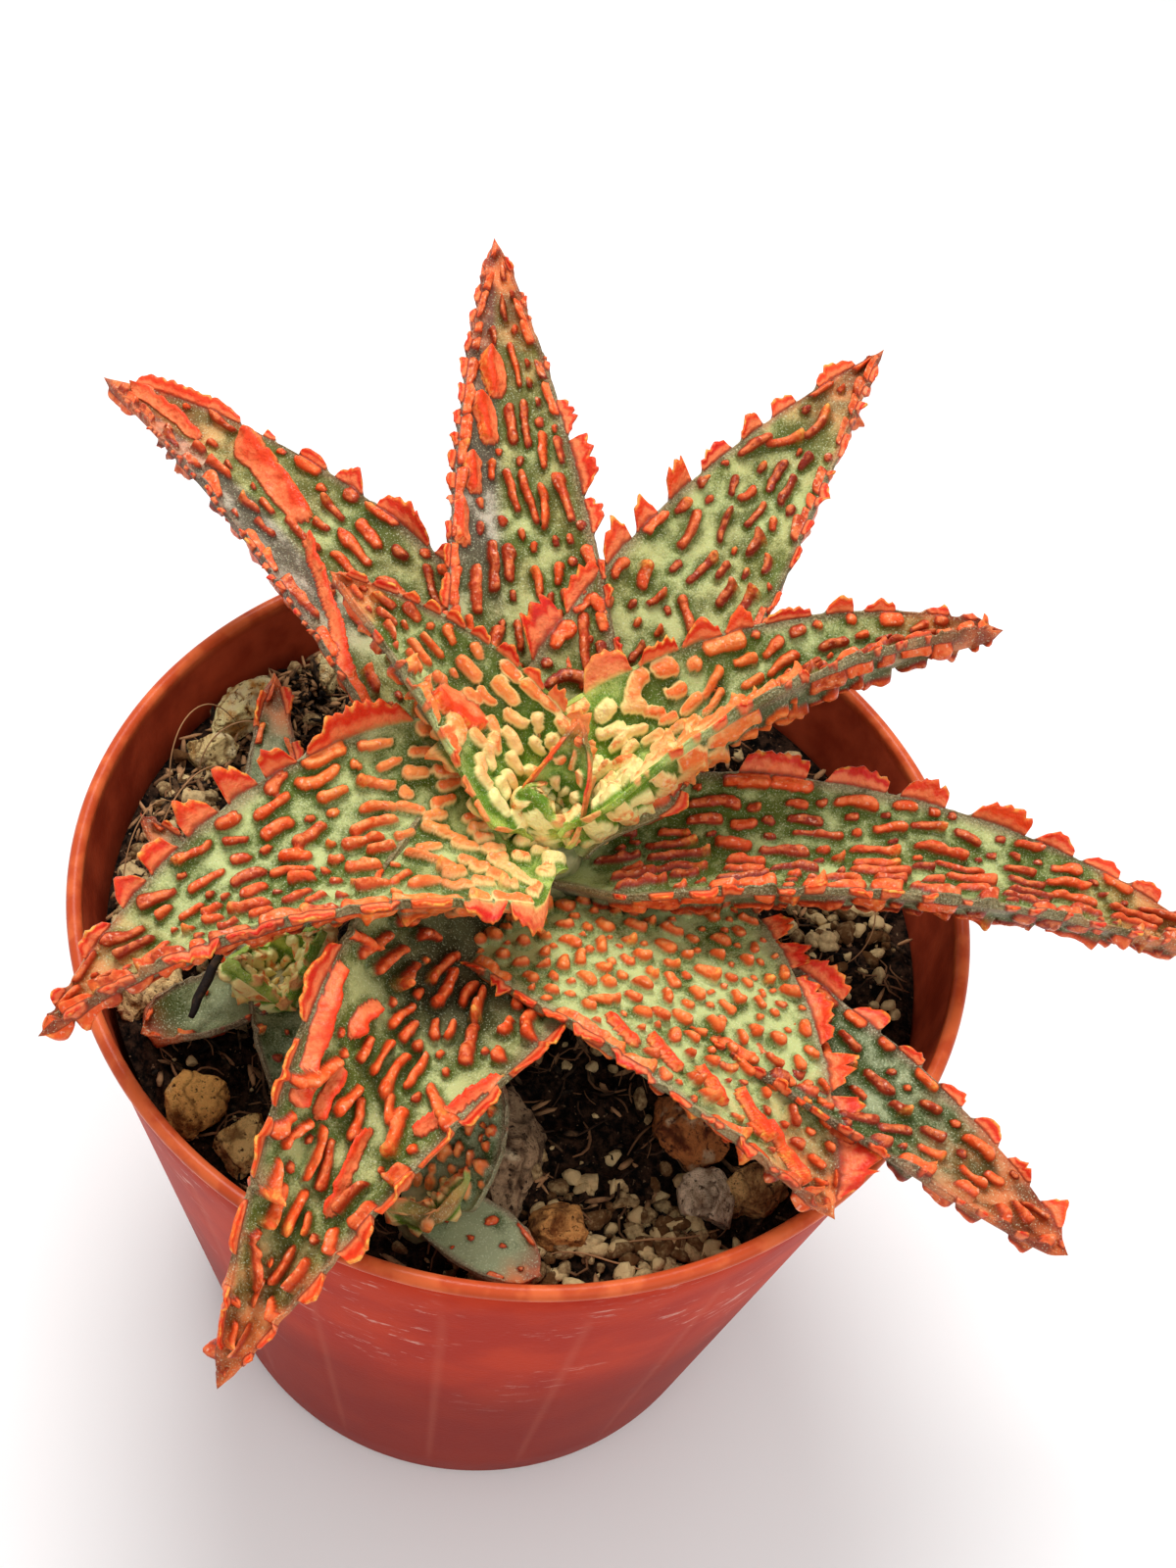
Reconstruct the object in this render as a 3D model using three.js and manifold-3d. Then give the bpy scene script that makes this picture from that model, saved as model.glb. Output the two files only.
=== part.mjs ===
// A potted aloe hybrid: a rosette of tubercled leaves with two young offsets, in a round plastic pot of soil.
// Millimetres, +Z up. The origin is the centre of the pot's flat underside. The front is towards -Y.
import * as THREE from "three";
import { mergeVertices } from "three/addons/utils/BufferGeometryUtils.js";
import Module from "manifold-3d";

const wasm = await Module();
wasm.setup();

// Pot
const RIM_RADIUS = 45;
const POT_HEIGHT = 80;
const BASE_RADIUS = 33;
const WALL = 0.9;
const FLOOR = 2;
const LIP_WIDTH = 0.6;
const LIP_HEIGHT = 1.4;
const LIP_BEVEL = 0.4;
const POT_SIDES = 36;
const DRAIN_HOLES = 6;
const DRAIN_RADIUS = 2.5;
const DRAIN_CIRCLE = 17;

// Soil and what lies on it
const SOIL_LEVEL = 70;
const SOIL_RINGS = 6;
const SOIL_SIDES = 26;
const SOIL_SHOULDER = 1;
const BANK_HEIGHT = 3.5;
const BANK_FOOT = 20;
const BANK_WIDTH = 22;
const RING_CROWDING = 0.8;
const POLYGON_FIT = 0.995;
const CRUMBS = 9;
const CRUMB_SIZE = [1.3, 2.4];
const CRUMB_MARGIN = 5;
const STONE_BULGE = [0.84, 1.08];
const GAP = 0.3;
const LEAF_GAP = 0.45;

// Leaf blade: cells along it and across its faces, the thickness of its edge, margin plates and warts
const CELLS_ALONG = 14;
const CELLS_ABOVE = 4;
const CELLS_BELOW = 2;
const EDGE = 0.9;
const TIP_THICKNESS = 1.1;
const PLATE_LEAN = 0.55;
const PLATE_INSET = 0.13;
const PLATE_THINNING = 0.25;
const TIP_POINT = 0.5;
const NECK = 0.45;
const NECK_END = 0.14;
const BARE_ROOT = 0.12;
const FULL_WART_WIDTH = 14;
const WART_LENGTH = 4;
const WART_WIDTH = 2;
const WART_HEIGHT = 1.4;

const DEGREE = Math.PI / 180;
const MERGE_DISTANCE = 1e-4;

const MATERIALS = {
  leaf: new THREE.MeshStandardMaterial({ color: 0x7c8f63, roughness: 0.55, metalness: 0 }),
  oldLeaf: new THREE.MeshStandardMaterial({ color: 0x5d7350, roughness: 0.6, metalness: 0 }),
  heart: new THREE.MeshStandardMaterial({ color: 0xc3c47a, roughness: 0.5, metalness: 0 }),
  stem: new THREE.MeshStandardMaterial({ color: 0x8a9a62, roughness: 0.7, metalness: 0 }),
  pot: new THREE.MeshStandardMaterial({ color: 0xa9452c, roughness: 0.45, metalness: 0 }),
  soil: new THREE.MeshStandardMaterial({ color: 0x2e2019, roughness: 0.95, metalness: 0 }),
  stone: new THREE.MeshStandardMaterial({ color: 0x9a7f5e, roughness: 0.85, metalness: 0 }),
};

// Each stem stands in a plain hole in the soil. Every leaf of a shoot springs from its stem's axis.
const STEMS = {
  main: { name: "stem", x: 1.5, y: -1.5, foot: 58, top: 91, footRadius: 6.5, topRadius: 3.8 },
  left: { name: "offset_left_stem", x: -21.5, y: -14.5, foot: 62, top: 75.5, footRadius: 2.8, topRadius: 2 },
  front: { name: "offset_front_stem", x: -4, y: -34, foot: 62, top: 74.5, footRadius: 2.6, topRadius: 1.8 },
};

// A leaf: height of its root on the stem's axis, heading of its root from +X towards +Y and the sweep that it
// turns by, rise of its root over the horizontal and the droop that it bends by, roll and twist about its own
// line, fold of its section, belly and taper of its outline, thickness at the root, height of the margin
// plates, share of cells with a wart above and below, and the seed of its random draws. The order is from the
// heart outwards.
const LEAF = {
  stem: "main",
  sweep: 0,
  droop: 0,
  roll: 0,
  twist: 0,
  fold: 0.3,
  unfold: 0,
  belly: 0.9,
  taper: 0.95,
  thick: 5,
  plate: 1.8,
  warts: 0.46,
  below: 0.2,
  cells: CELLS_ALONG,
  material: "leaf",
};
const LEAVES = [
  { name: "leaf_heart", height: 89, heading: 62, sweep: 30, rise: 74, droop: -12, length: 12.5,
    width: 6.2, fold: 0.8, thick: 2.6, plate: 0.7, cells: 8, material: "heart", seed: 1 },
  { name: "leaf_heart_small", height: 89, heading: 200, rise: 66, droop: 10, length: 8, width: 5.5,
    fold: 0.8, thick: 2.4, plate: 0.5, cells: 6, material: "heart", seed: 2 },
  { name: "leaf_inner_right", height: 90.5, heading: 42, sweep: -25, rise: 32, droop: -29,
    length: 48, width: 13, roll: -11, twist: -11, fold: 0.7, unfold: 0.05, belly: 0.6, taper: 0.85,
    thick: 4.4, below: 0.5, seed: 3 },
  { name: "leaf_inner_left", height: 90.5, heading: 146, sweep: 12, rise: 40, droop: -22,
    length: 31.5, width: 13, roll: -5, twist: 13, fold: 0.4, belly: 1, taper: 1.05, thick: 3.6,
    plate: 1.4, cells: 11, seed: 4 },
  { name: "leaf_left", height: 89, heading: 204, sweep: 28, rise: 23, droop: -46, length: 52.5,
    width: 22, roll: -6, twist: 29, fold: 0.32, unfold: 0.05, belly: 1.2, taper: 1.18, plate: 2.6,
    below: 0.4, seed: 5 },
  { name: "leaf_back_right", height: 87.5, heading: 71, sweep: -12, rise: 26, droop: -9, length: 63,
    width: 19, roll: 2, twist: -6, fold: 0.31, belly: 1.15, taper: 1.07, plate: 2, seed: 6 },
  { name: "leaf_back", height: 85.5, heading: 108, sweep: -3, rise: 30.5, droop: -13, length: 66,
    width: 17, roll: -3, fold: 0.34, belly: 0.9, taper: 0.98, seed: 7 },
  { name: "leaf_back_left", height: 84.5, heading: 134, sweep: 17, rise: 25, droop: -29,
    length: 71.5, width: 19.5, roll: -1, twist: 9, belly: 0.75, taper: 0.94, thick: 5.5, plate: 2.2,
    seed: 8 },
  { name: "leaf_right", height: 84, heading: 7.5, sweep: -11, rise: 20, droop: -39, length: 70.5,
    width: 16, roll: -6, twist: -12, fold: 0.36, unfold: 0.06, belly: 1, taper: 0.91, below: 0.4,
    seed: 9 },
  { name: "leaf_front", height: 81.5, heading: -41, sweep: -10, rise: 23, droop: -40, length: 45.5,
    width: 28, roll: -7, twist: -12, fold: -0.05, unfold: 0.33, belly: 1.1, taper: 1, plate: 2,
    warts: 0.65, seed: 10 },
  { name: "leaf_front_left", height: 80, heading: 247, sweep: 9, rise: 30, droop: -62, length: 61,
    width: 24, roll: -17, fold: 0.48, belly: 0.45, taper: 1, thick: 4.6, plate: 2.2, below: 0.4,
    seed: 11 },
  { name: "leaf_front_right", height: 79, heading: -31, rise: 14, droop: -20, length: 61, width: 14,
    roll: -9, twist: -3, belly: 1, taper: 0.7, thick: 4.6, plate: 1.6, warts: 0.45,
    material: "oldLeaf", seed: 12 },
  { name: "offset_left_leaf_heart", stem: "left", height: 73.5, heading: 30, rise: 62, droop: 10,
    length: 9.5, width: 6.5, fold: 0.6, thick: 2.4, plate: 0.6, cells: 5, material: "heart",
    seed: 13 },
  { name: "offset_left_leaf_young", stem: "left", height: 73, heading: 205, rise: 52, droop: 8,
    length: 9, width: 6.5, fold: 0.5, thick: 2.4, plate: 0.6, cells: 5, material: "heart", seed: 14 },
  { name: "offset_left_leaf_back", stem: "left", height: 73.5, heading: 108, sweep: -6, rise: 22,
    droop: -6, length: 33, width: 8, fold: 0.35, thick: 3, plate: 1, warts: 0.1, below: 0, cells: 9,
    material: "oldLeaf", seed: 15 },
  { name: "offset_left_leaf_side", stem: "left", height: 73, heading: 142, rise: 18, droop: -8,
    length: 23, width: 6.5, fold: 0.4, thick: 2.8, plate: 1.2, warts: 0.1, below: 0, cells: 7,
    material: "oldLeaf", seed: 16 },
  { name: "offset_left_leaf_left", stem: "left", height: 73.5, heading: 213, sweep: 3, rise: 6,
    droop: -6, length: 14, width: 6, fold: 0.45, belly: 2.2, taper: 0.5, thick: 3.2, plate: 0.7,
    warts: 0.1, below: 0, cells: 5, material: "oldLeaf", seed: 17 },
  { name: "offset_left_leaf_front", stem: "left", height: 74, heading: 285, sweep: 6, rise: 8,
    droop: -14, length: 16, width: 6, fold: 0.3, thick: 3, plate: 0.6, warts: 0.1, below: 0.2,
    cells: 6, material: "oldLeaf", seed: 18 },
  { name: "offset_front_leaf_heart", stem: "front", height: 73, heading: 300, rise: 50, droop: 14,
    length: 6.5, width: 8, fold: 0.5, belly: 2, taper: 0.5, thick: 2.2, plate: 0.7, cells: 4,
    material: "heart", seed: 19 },
  { name: "offset_front_leaf_back", stem: "front", height: 73, heading: 72, sweep: 4, rise: 46,
    droop: -16, length: 15, width: 10.5, fold: 0.3, belly: 1.6, taper: 0.7, thick: 3, plate: 0.8,
    warts: 0.4, cells: 6, material: "oldLeaf", seed: 20 },
  { name: "offset_front_leaf_side", stem: "front", height: 73.6, heading: -22, rise: 0,
    droop: -8, length: 12.8, width: 6.5, fold: 0.1, belly: 2, taper: 0.6, thick: 3, plate: 0.4,
    warts: 0.1, below: 0, cells: 5, material: "oldLeaf", seed: 21 },
];

// A stone: its place on the soil, its half sizes, the turn of its long side and how far its middle stands up.
const STONES = [
  { name: "stone_long", x: 3, y: -26.5, size: [3.6, 7, 3.2], turn: 12, lift: 0.8, seed: 31 },
  { name: "stone_brown", x: 9.3, y: -33, size: [3, 2.3, 2], turn: 20, lift: 0.4, seed: 32 },
  { name: "stone_brown_white", x: 19.5, y: -20.5, size: [4.2, 3.2, 2.6], turn: -25, lift: 0.6, seed: 33 },
  { name: "stone_grey", x: 22.8, y: -27.2, size: [2.8, 3, 2.4], turn: 15, lift: 0.6, seed: 34 },
  { name: "stone_tan_front", x: 26.6, y: -25.4, size: [3.6, 2.6, 2.2], turn: 44, lift: 0.5, seed: 35 },
  { name: "stone_rough_left", x: -34.4, y: -16.2, size: [3.6, 4.6, 2.8], turn: -20, lift: 0.4, seed: 36 },
  { name: "stone_ridged_left", x: -27, y: -27.4, size: [2.8, 3.8, 2.6], turn: -30, lift: 0.4, seed: 37 },
  { name: "stone_tan_left", x: -21.8, y: -30.4, size: [2.2, 3.2, 2.2], turn: -15, lift: 0.4, seed: 38 },
  { name: "stone_pale_back", x: -34, y: 19.4, size: [4.6, 2.8, 2.4], turn: 56, lift: 0.6, seed: 39 },
  { name: "stone_pale_left", x: -35.6, y: 12.6, size: [2.6, 2.4, 2], turn: 10, lift: 0.4, seed: 40 },
  { name: "stone_pale_far", x: -26.6, y: 28, size: [2.8, 2.4, 2.2], turn: -10, lift: 0.4, seed: 41 },
];

// A repeatable stream of numbers from 0 to 1.
function randomFrom(seed) {
  let state = seed * 2654435761;
  return () => {
    state = (state + 0x6d2b79f5) | 0;
    let mixed = Math.imul(state ^ (state >>> 15), 1 | state);
    mixed = (mixed + Math.imul(mixed ^ (mixed >>> 7), 61 | mixed)) ^ mixed;
    return ((mixed ^ (mixed >>> 14)) >>> 0) / 4294967296;
  };
}

const along3 = (from, direction, distance) => from.clone().addScaledVector(direction, distance);
const between = ([low, high], share) => low + (high - low) * share;

// Solids and meshes
function solidOf(places, triangles) {
  const vertProperties = new Float32Array(places);
  const triVerts = new Uint32Array(triangles);
  return new wasm.Manifold(new wasm.Mesh({ numProp: 3, vertProperties, triVerts }));
}

function solidOfPoints(points, triangles) {
  return solidOf(points.flatMap((p) => [p.x, p.y, p.z]), triangles);
}

function solidOfGeometry(geometry) {
  const bare = geometry.clone();
  bare.deleteAttribute("normal");
  bare.deleteAttribute("uv");
  const merged = mergeVertices(bare, MERGE_DISTANCE);
  return solidOf(merged.attributes.position.array, merged.index.array);
}

function largestBody(solid) {
  return solid.decompose().reduce((best, body) => (body.volume() > best.volume() ? body : best));
}

function boxesMeet(a, b) {
  const one = a.boundingBox();
  const two = b.boundingBox();
  return [0, 1, 2].every((k) => one.min[k] < two.max[k] && two.min[k] < one.max[k]);
}

function meshOf(name, solid, material) {
  const { vertProperties, triVerts } = solid.getMesh();
  const geometry = new THREE.BufferGeometry();
  geometry.setAttribute("position", new THREE.BufferAttribute(new Float32Array(vertProperties), 3));
  geometry.setIndex(new THREE.BufferAttribute(new Uint32Array(triVerts), 1));
  geometry.computeVertexNormals();
  const mesh = new THREE.Mesh(geometry, MATERIALS[material]);
  mesh.name = name;
  return mesh;
}

// Pot
function innerRadiusAt(z) {
  const share = z / (POT_HEIGHT - LIP_HEIGHT);
  return BASE_RADIUS + (RIM_RADIUS - LIP_WIDTH - BASE_RADIUS) * share - WALL;
}

function potSolid() {
  const shoulder = RIM_RADIUS - LIP_WIDTH;
  const underLip = POT_HEIGHT - LIP_HEIGHT;
  const profile = [
    [0, 0],
    [BASE_RADIUS - 1, 0],
    [BASE_RADIUS, 1],
    [shoulder, underLip],
    [RIM_RADIUS, underLip + LIP_BEVEL],
    [RIM_RADIUS, POT_HEIGHT - LIP_BEVEL],
    [RIM_RADIUS - LIP_BEVEL, POT_HEIGHT],
    [shoulder - WALL + LIP_BEVEL, POT_HEIGHT],
    [shoulder - WALL, POT_HEIGHT - LIP_BEVEL],
    [shoulder - WALL, underLip],
    [innerRadiusAt(FLOOR), FLOOR],
    [0, FLOOR],
  ].map(([radius, height]) => new THREE.Vector2(radius, height));
  const lathe = new THREE.LatheGeometry(profile, POT_SIDES).rotateX(Math.PI / 2);
  let pot = solidOfGeometry(lathe);
  for (let i = 0; i < DRAIN_HOLES; i++) {
    const angle = ((i + 0.5) * 2 * Math.PI) / DRAIN_HOLES;
    const hole = new THREE.CylinderGeometry(DRAIN_RADIUS, DRAIN_RADIUS, 3 * FLOOR, 10).rotateX(Math.PI / 2);
    hole.translate(DRAIN_CIRCLE * Math.cos(angle), DRAIN_CIRCLE * Math.sin(angle), FLOOR / 2);
    pot = pot.subtract(solidOfGeometry(hole));
  }
  return pot;
}

// Stems
function stemSolid(stem, grow = 0) {
  const tall = stem.top - stem.foot + 2 * grow;
  const shaft = new THREE.CylinderGeometry(stem.topRadius + grow, stem.footRadius + grow, tall, 12);
  return solidOfGeometry(shaft.rotateX(Math.PI / 2).translate(stem.x, stem.y, (stem.top + stem.foot) / 2));
}

// Leaves
function directionAt(leaf, t) {
  const pitch = (leaf.rise + leaf.droop * t) * DEGREE;
  const heading = (leaf.heading + leaf.sweep * t) * DEGREE;
  const level = Math.cos(pitch);
  return new THREE.Vector3(level * Math.cos(heading), level * Math.sin(heading), Math.sin(pitch));
}

// The outline's half width at t, as a share of the widest: a narrow neck on the stem, then a long taper.
function outlineAt(leaf, t) {
  const neck = Math.min(t / NECK_END, 1);
  const clasp = NECK + (1 - NECK) * neck * neck * (3 - 2 * neck);
  return (1 - t) ** leaf.taper * (0.8 + leaf.belly * t) * clasp;
}

// Stations along the leaf, each with its place, its three directions, half width and thickness.
function stationsOf(leaf) {
  const stem = STEMS[leaf.stem];
  const centre = new THREE.Vector3(stem.x, stem.y, leaf.height);
  const widest = Math.max(...Array.from({ length: 51 }, (_, i) => outlineAt(leaf, i / 50)));
  return Array.from({ length: leaf.cells + 1 }, (_, i) => {
    const t = i / leaf.cells;
    const along = directionAt(leaf, t);
    if (i > 0) {
      const step = along.clone().add(directionAt(leaf, (i - 1) / leaf.cells)).normalize();
      centre.addScaledVector(step, leaf.length / leaf.cells);
    }
    const heading = (leaf.heading + leaf.sweep * t) * DEGREE;
    const level = new THREE.Vector3(-Math.sin(heading), Math.cos(heading), 0);
    const roll = (leaf.roll + leaf.twist * t) * DEGREE;
    const side = level.applyAxisAngle(along, roll);
    const up = new THREE.Vector3().crossVectors(along, side);
    const half = (leaf.width / 2) * (outlineAt(leaf, t) / widest);
    const thick = TIP_THICKNESS + (leaf.thick - TIP_THICKNESS) * (1 - t) ** 0.8;
    return { t, centre: centre.clone(), along, side, up, half, thick, fold: leaf.fold + leaf.unfold * t };
  });
}

// A point of the leaf's upper face, u from -1 at the right margin to 1 at the left one.
function upperPoint(station, u) {
  const point = along3(station.centre, station.side, station.half * u);
  return point.addScaledVector(station.up, station.half * station.fold * u * u);
}

function lowerPoint(station, u) {
  const body = Math.max(station.thick - EDGE, 0) * (1 - u * u);
  return upperPoint(station, u).addScaledVector(station.up, -(EDGE + body));
}

// A blade under construction: points, and triangles that face out.
class Shell {
  constructor() {
    this.points = [];
    this.triangles = [];
  }

  add(point) {
    return this.points.push(point) - 1;
  }

  // A face with its corners in order, turning left as seen from outside, or right if flipped.
  fan(ring, flipped = false) {
    for (let i = 1; i < ring.length - 1; i++) {
      if (flipped) this.triangles.push(ring[0], ring[i + 1], ring[i]);
      else this.triangles.push(ring[0], ring[i], ring[i + 1]);
    }
  }

  // The place at shares p and q of a four-sided cell.
  inside([a, b, c, d], p, q) {
    const [pa, pb, pc, pd] = [a, b, c, d].map((index) => this.points[index]);
    return pa.clone().lerp(pb, p).lerp(pd.clone().lerp(pc, p), q);
  }

  // A wart on a cell: a hipped ridge along it, in a collar of the cell's own face.
  wart(cell, random, size) {
    const [a, b, c, d] = cell.map((index) => this.points[index]);
    const long = (a.distanceTo(b) + c.distanceTo(d)) / 2;
    const wide = (a.distanceTo(d) + b.distanceTo(c)) / 2;
    const p = Math.min((WART_LENGTH * size) / 2 / long, 0.42);
    const q = Math.min((WART_WIDTH * size ** 0.5) / 2 / wide, 0.36);
    const middle = 0.5 + (0.42 - q) * (random() - 0.5);
    const skew = 0.14 * (random() - 0.5);
    const foot = [[-p, -q], [p, -q], [p, q], [-p, q]].map(([x, y]) =>
      this.add(this.inside(cell, 0.5 + x, middle + y + Math.sign(x) * skew)));
    const out = new THREE.Vector3().crossVectors(c.clone().sub(a), d.clone().sub(b)).normalize();
    const crest = [-0.6 * p, 0.6 * p].map((x) =>
      this.add(along3(this.inside(cell, 0.5 + x, middle + Math.sign(x) * skew), out,
        WART_HEIGHT * size ** 0.5)));
    for (let k = 0; k < 4; k++) {
      const next = (k + 1) % 4;
      this.fan([cell[k], cell[next], foot[next], foot[k]]);
    }
    this.fan([foot[0], foot[1], crest[1], crest[0]]);
    this.fan([foot[2], foot[3], crest[0], crest[1]]);
    this.fan([foot[1], foot[2], crest[1]]);
    this.fan([foot[3], foot[0], crest[0]]);
  }

  // A margin plate on a cell of the edge: it leans up, and its outer side is ragged.
  plate(cell, flipped, outward, heights) {
    const [lowStart, highStart, highEnd, lowEnd] = cell;
    const rim = (p) => [PLATE_INSET, 0.5, 1 - PLATE_INSET].map((q, k) =>
      this.add(along3(this.inside(cell, p, q), outward, heights[k])));
    const high = rim(1);
    const low = rim(PLATE_THINNING);
    this.fan([highStart, highEnd, high[2], high[1], high[0]], flipped);
    this.fan([lowEnd, lowStart, low[0], low[1], low[2]], flipped);
    this.fan([lowStart, highStart, high[0], low[0]], flipped);
    this.fan([highEnd, lowEnd, low[2], high[2]], flipped);
    this.fan([low[0], high[0], high[1], low[1]], flipped);
    this.fan([low[1], high[1], high[2], low[2]], flipped);
  }

  // The solid, with its whole skin moved out by a distance.
  solid(distance) {
    const outs = this.points.map(() => new THREE.Vector3());
    for (let i = 0; i < this.triangles.length; i += 3) {
      const corners = this.triangles.slice(i, i + 3);
      const [a, b, c] = corners.map((index) => this.points[index]);
      const normal = new THREE.Vector3().crossVectors(b.clone().sub(a), c.clone().sub(a)).normalize();
      for (const index of corners) outs[index].add(normal);
    }
    const moved = this.points.map((point, index) => along3(point, outs[index].normalize(), distance));
    return solidOfPoints(moved, this.triangles);
  }
}

// One face of a blade between two rows of points: its cells, some with a wart.
function paveFace(shell, here, next, below, share, random, size) {
  for (let j = 0; j < here.length - 1; j++) {
    const cell = [here[j], next[j], next[j + 1], here[j + 1]];
    if (below) cell.reverse();
    const wanted = random() < share;
    const wartSize = size * (0.75 + 0.4 * random());
    if (wanted) shell.wart(cell, random, wartSize);
    else shell.fan(cell);
  }
}

function leafSolids(leaf) {
  const stations = stationsOf(leaf);
  const random = randomFrom(leaf.seed);
  const shell = new Shell();
  const shares = (cells) => Array.from({ length: cells + 1 }, (_, j) => (2 * j) / cells - 1);
  const rows = stations.slice(0, -1).map((station) => {
    return {
      above: shares(CELLS_ABOVE).map((u) => shell.add(upperPoint(station, u))),
      below: shares(CELLS_BELOW).map((u) => shell.add(lowerPoint(station, u))),
    };
  });
  const end = stations.at(-1);
  const tip = shell.add(along3(end.centre, end.along, TIP_POINT));
  for (let i = 0; i < rows.length - 1; i++) {
    const [here, next, station] = [rows[i], rows[i + 1], stations[i]];
    const bare = station.t < BARE_ROOT;
    const size = Math.min(1, leaf.width / FULL_WART_WIDTH) * (1 - 0.4 * station.t);
    paveFace(shell, here.above, next.above, false, bare ? 0 : leaf.warts, random, size);
    paveFace(shell, here.below, next.below, true, bare ? 0 : leaf.below, random, size);
    for (const [hand, edge] of [[-1, 0], [1, -1]]) {
      const cell = [here.below.at(edge), here.above.at(edge), next.above.at(edge), next.below.at(edge)];
      const tall = leaf.plate * (1 - 0.5 * station.t);
      const heights = [0, 1, 2].map(() => tall * (0.45 + 0.55 * random()));
      const outward = along3(station.side.clone().multiplyScalar(hand), station.up, PLATE_LEAN);
      if (bare) shell.fan(cell, hand < 0);
      else shell.plate(cell, hand < 0, outward, heights);
    }
  }
  const last = rows.at(-1);
  for (let j = 0; j < CELLS_ABOVE; j++) shell.fan([last.above[j], tip, last.above[j + 1]]);
  for (let j = 0; j < CELLS_BELOW; j++) shell.fan([last.below[j], last.below[j + 1], tip]);
  shell.fan([last.above[0], last.below[0], tip]);
  shell.fan([last.below.at(-1), last.above.at(-1), tip]);
  shell.fan([...rows[0].above, ...rows[0].below.toReversed()]);
  return { solid: shell.solid(0), cutter: shell.solid(LEAF_GAP) };
}

// The soil lies higher along the left of the pot.
function bankHeight(x) {
  return BANK_HEIGHT * THREE.MathUtils.smoothstep((-x - BANK_FOOT) / BANK_WIDTH, 0, 1);
}

// Stones
function stoneSolid(stone, grow = 0) {
  const random = randomFrom(stone.seed);
  const bare = new THREE.IcosahedronGeometry(1, 1);
  bare.deleteAttribute("normal");
  bare.deleteAttribute("uv");
  const lump = mergeVertices(bare, MERGE_DISTANCE);
  const place = lump.attributes.position;
  for (let i = 0; i < place.count; i++) {
    const bulge = between(STONE_BULGE, random());
    const corner = [place.getX(i), place.getY(i), place.getZ(i)];
    const scaled = corner.map((c, k) => c * (stone.size[k] * bulge + grow));
    place.setXYZ(i, ...scaled);
  }
  lump.rotateZ(stone.turn * DEGREE).translate(stone.x, stone.y, SOIL_LEVEL + bankHeight(stone.x) + stone.lift);
  return solidOfGeometry(lump);
}

// Soil
function soilHeight(x, y) {
  const swell = 0.8 * Math.sin(0.19 * x + 1.1) * Math.cos(0.23 * y - 0.4);
  const crumble = 0.55 * Math.sin(0.71 * x - 0.6 * y) + 0.35 * Math.cos(0.93 * y + 0.5 * x);
  return SOIL_LEVEL + bankHeight(x) + swell + crumble;
}

function soilSolid(pieces) {
  const rimRadius = (innerRadiusAt(SOIL_LEVEL - SOIL_SHOULDER) - GAP) * POLYGON_FIT;
  const points = [new THREE.Vector3(0, 0, soilHeight(0, 0))];
  const triangles = [];
  for (let ring = 1; ring <= SOIL_RINGS; ring++) {
    for (let k = 0; k < SOIL_SIDES; k++) {
      const angle = (2 * Math.PI * (k + 0.5 * (ring % 2))) / SOIL_SIDES;
      const radius = rimRadius * (ring / SOIL_RINGS) ** RING_CROWDING;
      const x = radius * Math.cos(angle);
      const y = radius * Math.sin(angle);
      const shoulder = SOIL_LEVEL + bankHeight(x) - SOIL_SHOULDER;
      const z = ring === SOIL_RINGS ? shoulder : soilHeight(x, y);
      points.push(new THREE.Vector3(x, y, z));
    }
  }
  const start = (ring) => 1 + (ring - 1) * SOIL_SIDES;
  for (let k = 0; k < SOIL_SIDES; k++) {
    triangles.push(0, start(1) + k, start(1) + ((k + 1) % SOIL_SIDES));
  }
  for (let ring = 1; ring < SOIL_RINGS; ring++) {
    for (let k = 0; k < SOIL_SIDES; k++) {
      const next = (k + 1) % SOIL_SIDES;
      const [a, b] = [start(ring) + k, start(ring) + next];
      const [c, d] = [start(ring + 1) + k, start(ring + 1) + next];
      if (ring % 2) triangles.push(a, c, b, b, c, d);
      else triangles.push(a, c, d, a, d, b);
    }
  }
  const foot = points.length;
  const footRadius = (innerRadiusAt(FLOOR + GAP) - GAP) * POLYGON_FIT;
  const outer = start(SOIL_RINGS);
  for (let k = 0; k < SOIL_SIDES; k++) {
    const angle = (2 * Math.PI * (k + 0.5 * (SOIL_RINGS % 2))) / SOIL_SIDES;
    const [x, y] = [footRadius * Math.cos(angle), footRadius * Math.sin(angle)];
    points.push(new THREE.Vector3(x, y, FLOOR + GAP));
  }
  const middle = points.push(new THREE.Vector3(0, 0, FLOOR + GAP)) - 1;
  for (let k = 0; k < SOIL_SIDES; k++) {
    const next = (k + 1) % SOIL_SIDES;
    triangles.push(outer + k, foot + k, foot + next, outer + k, foot + next, outer + next);
    triangles.push(middle, foot + next, foot + k);
  }
  let soil = solidOfPoints(points, triangles);
  for (const crumb of crumbs()) soil = soil.add(crumb);
  for (const piece of pieces) if (boxesMeet(soil, piece)) soil = soil.subtract(piece);
  return largestBody(soil);
}

// Pumice crumbs, fused to the soil that they are pressed into.
function crumbs() {
  const random = randomFrom(50);
  const reach = innerRadiusAt(SOIL_LEVEL) - CRUMB_MARGIN;
  return Array.from({ length: CRUMBS }, () => {
    const angle = 2 * Math.PI * random();
    const radius = reach * (0.45 + 0.55 * random());
    const size = between(CRUMB_SIZE, random());
    const [x, y] = [radius * Math.cos(angle), radius * Math.sin(angle)];
    const crumb = new THREE.OctahedronGeometry(size).scale(1, 0.85, 0.8).rotateZ(6 * random());
    return solidOfGeometry(crumb.translate(x, y, soilHeight(x, y) + 0.2));
  });
}

// The whole plant in its pot
const part = new THREE.Group();
part.add(meshOf("pot", potSolid(), "pot"));

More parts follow.
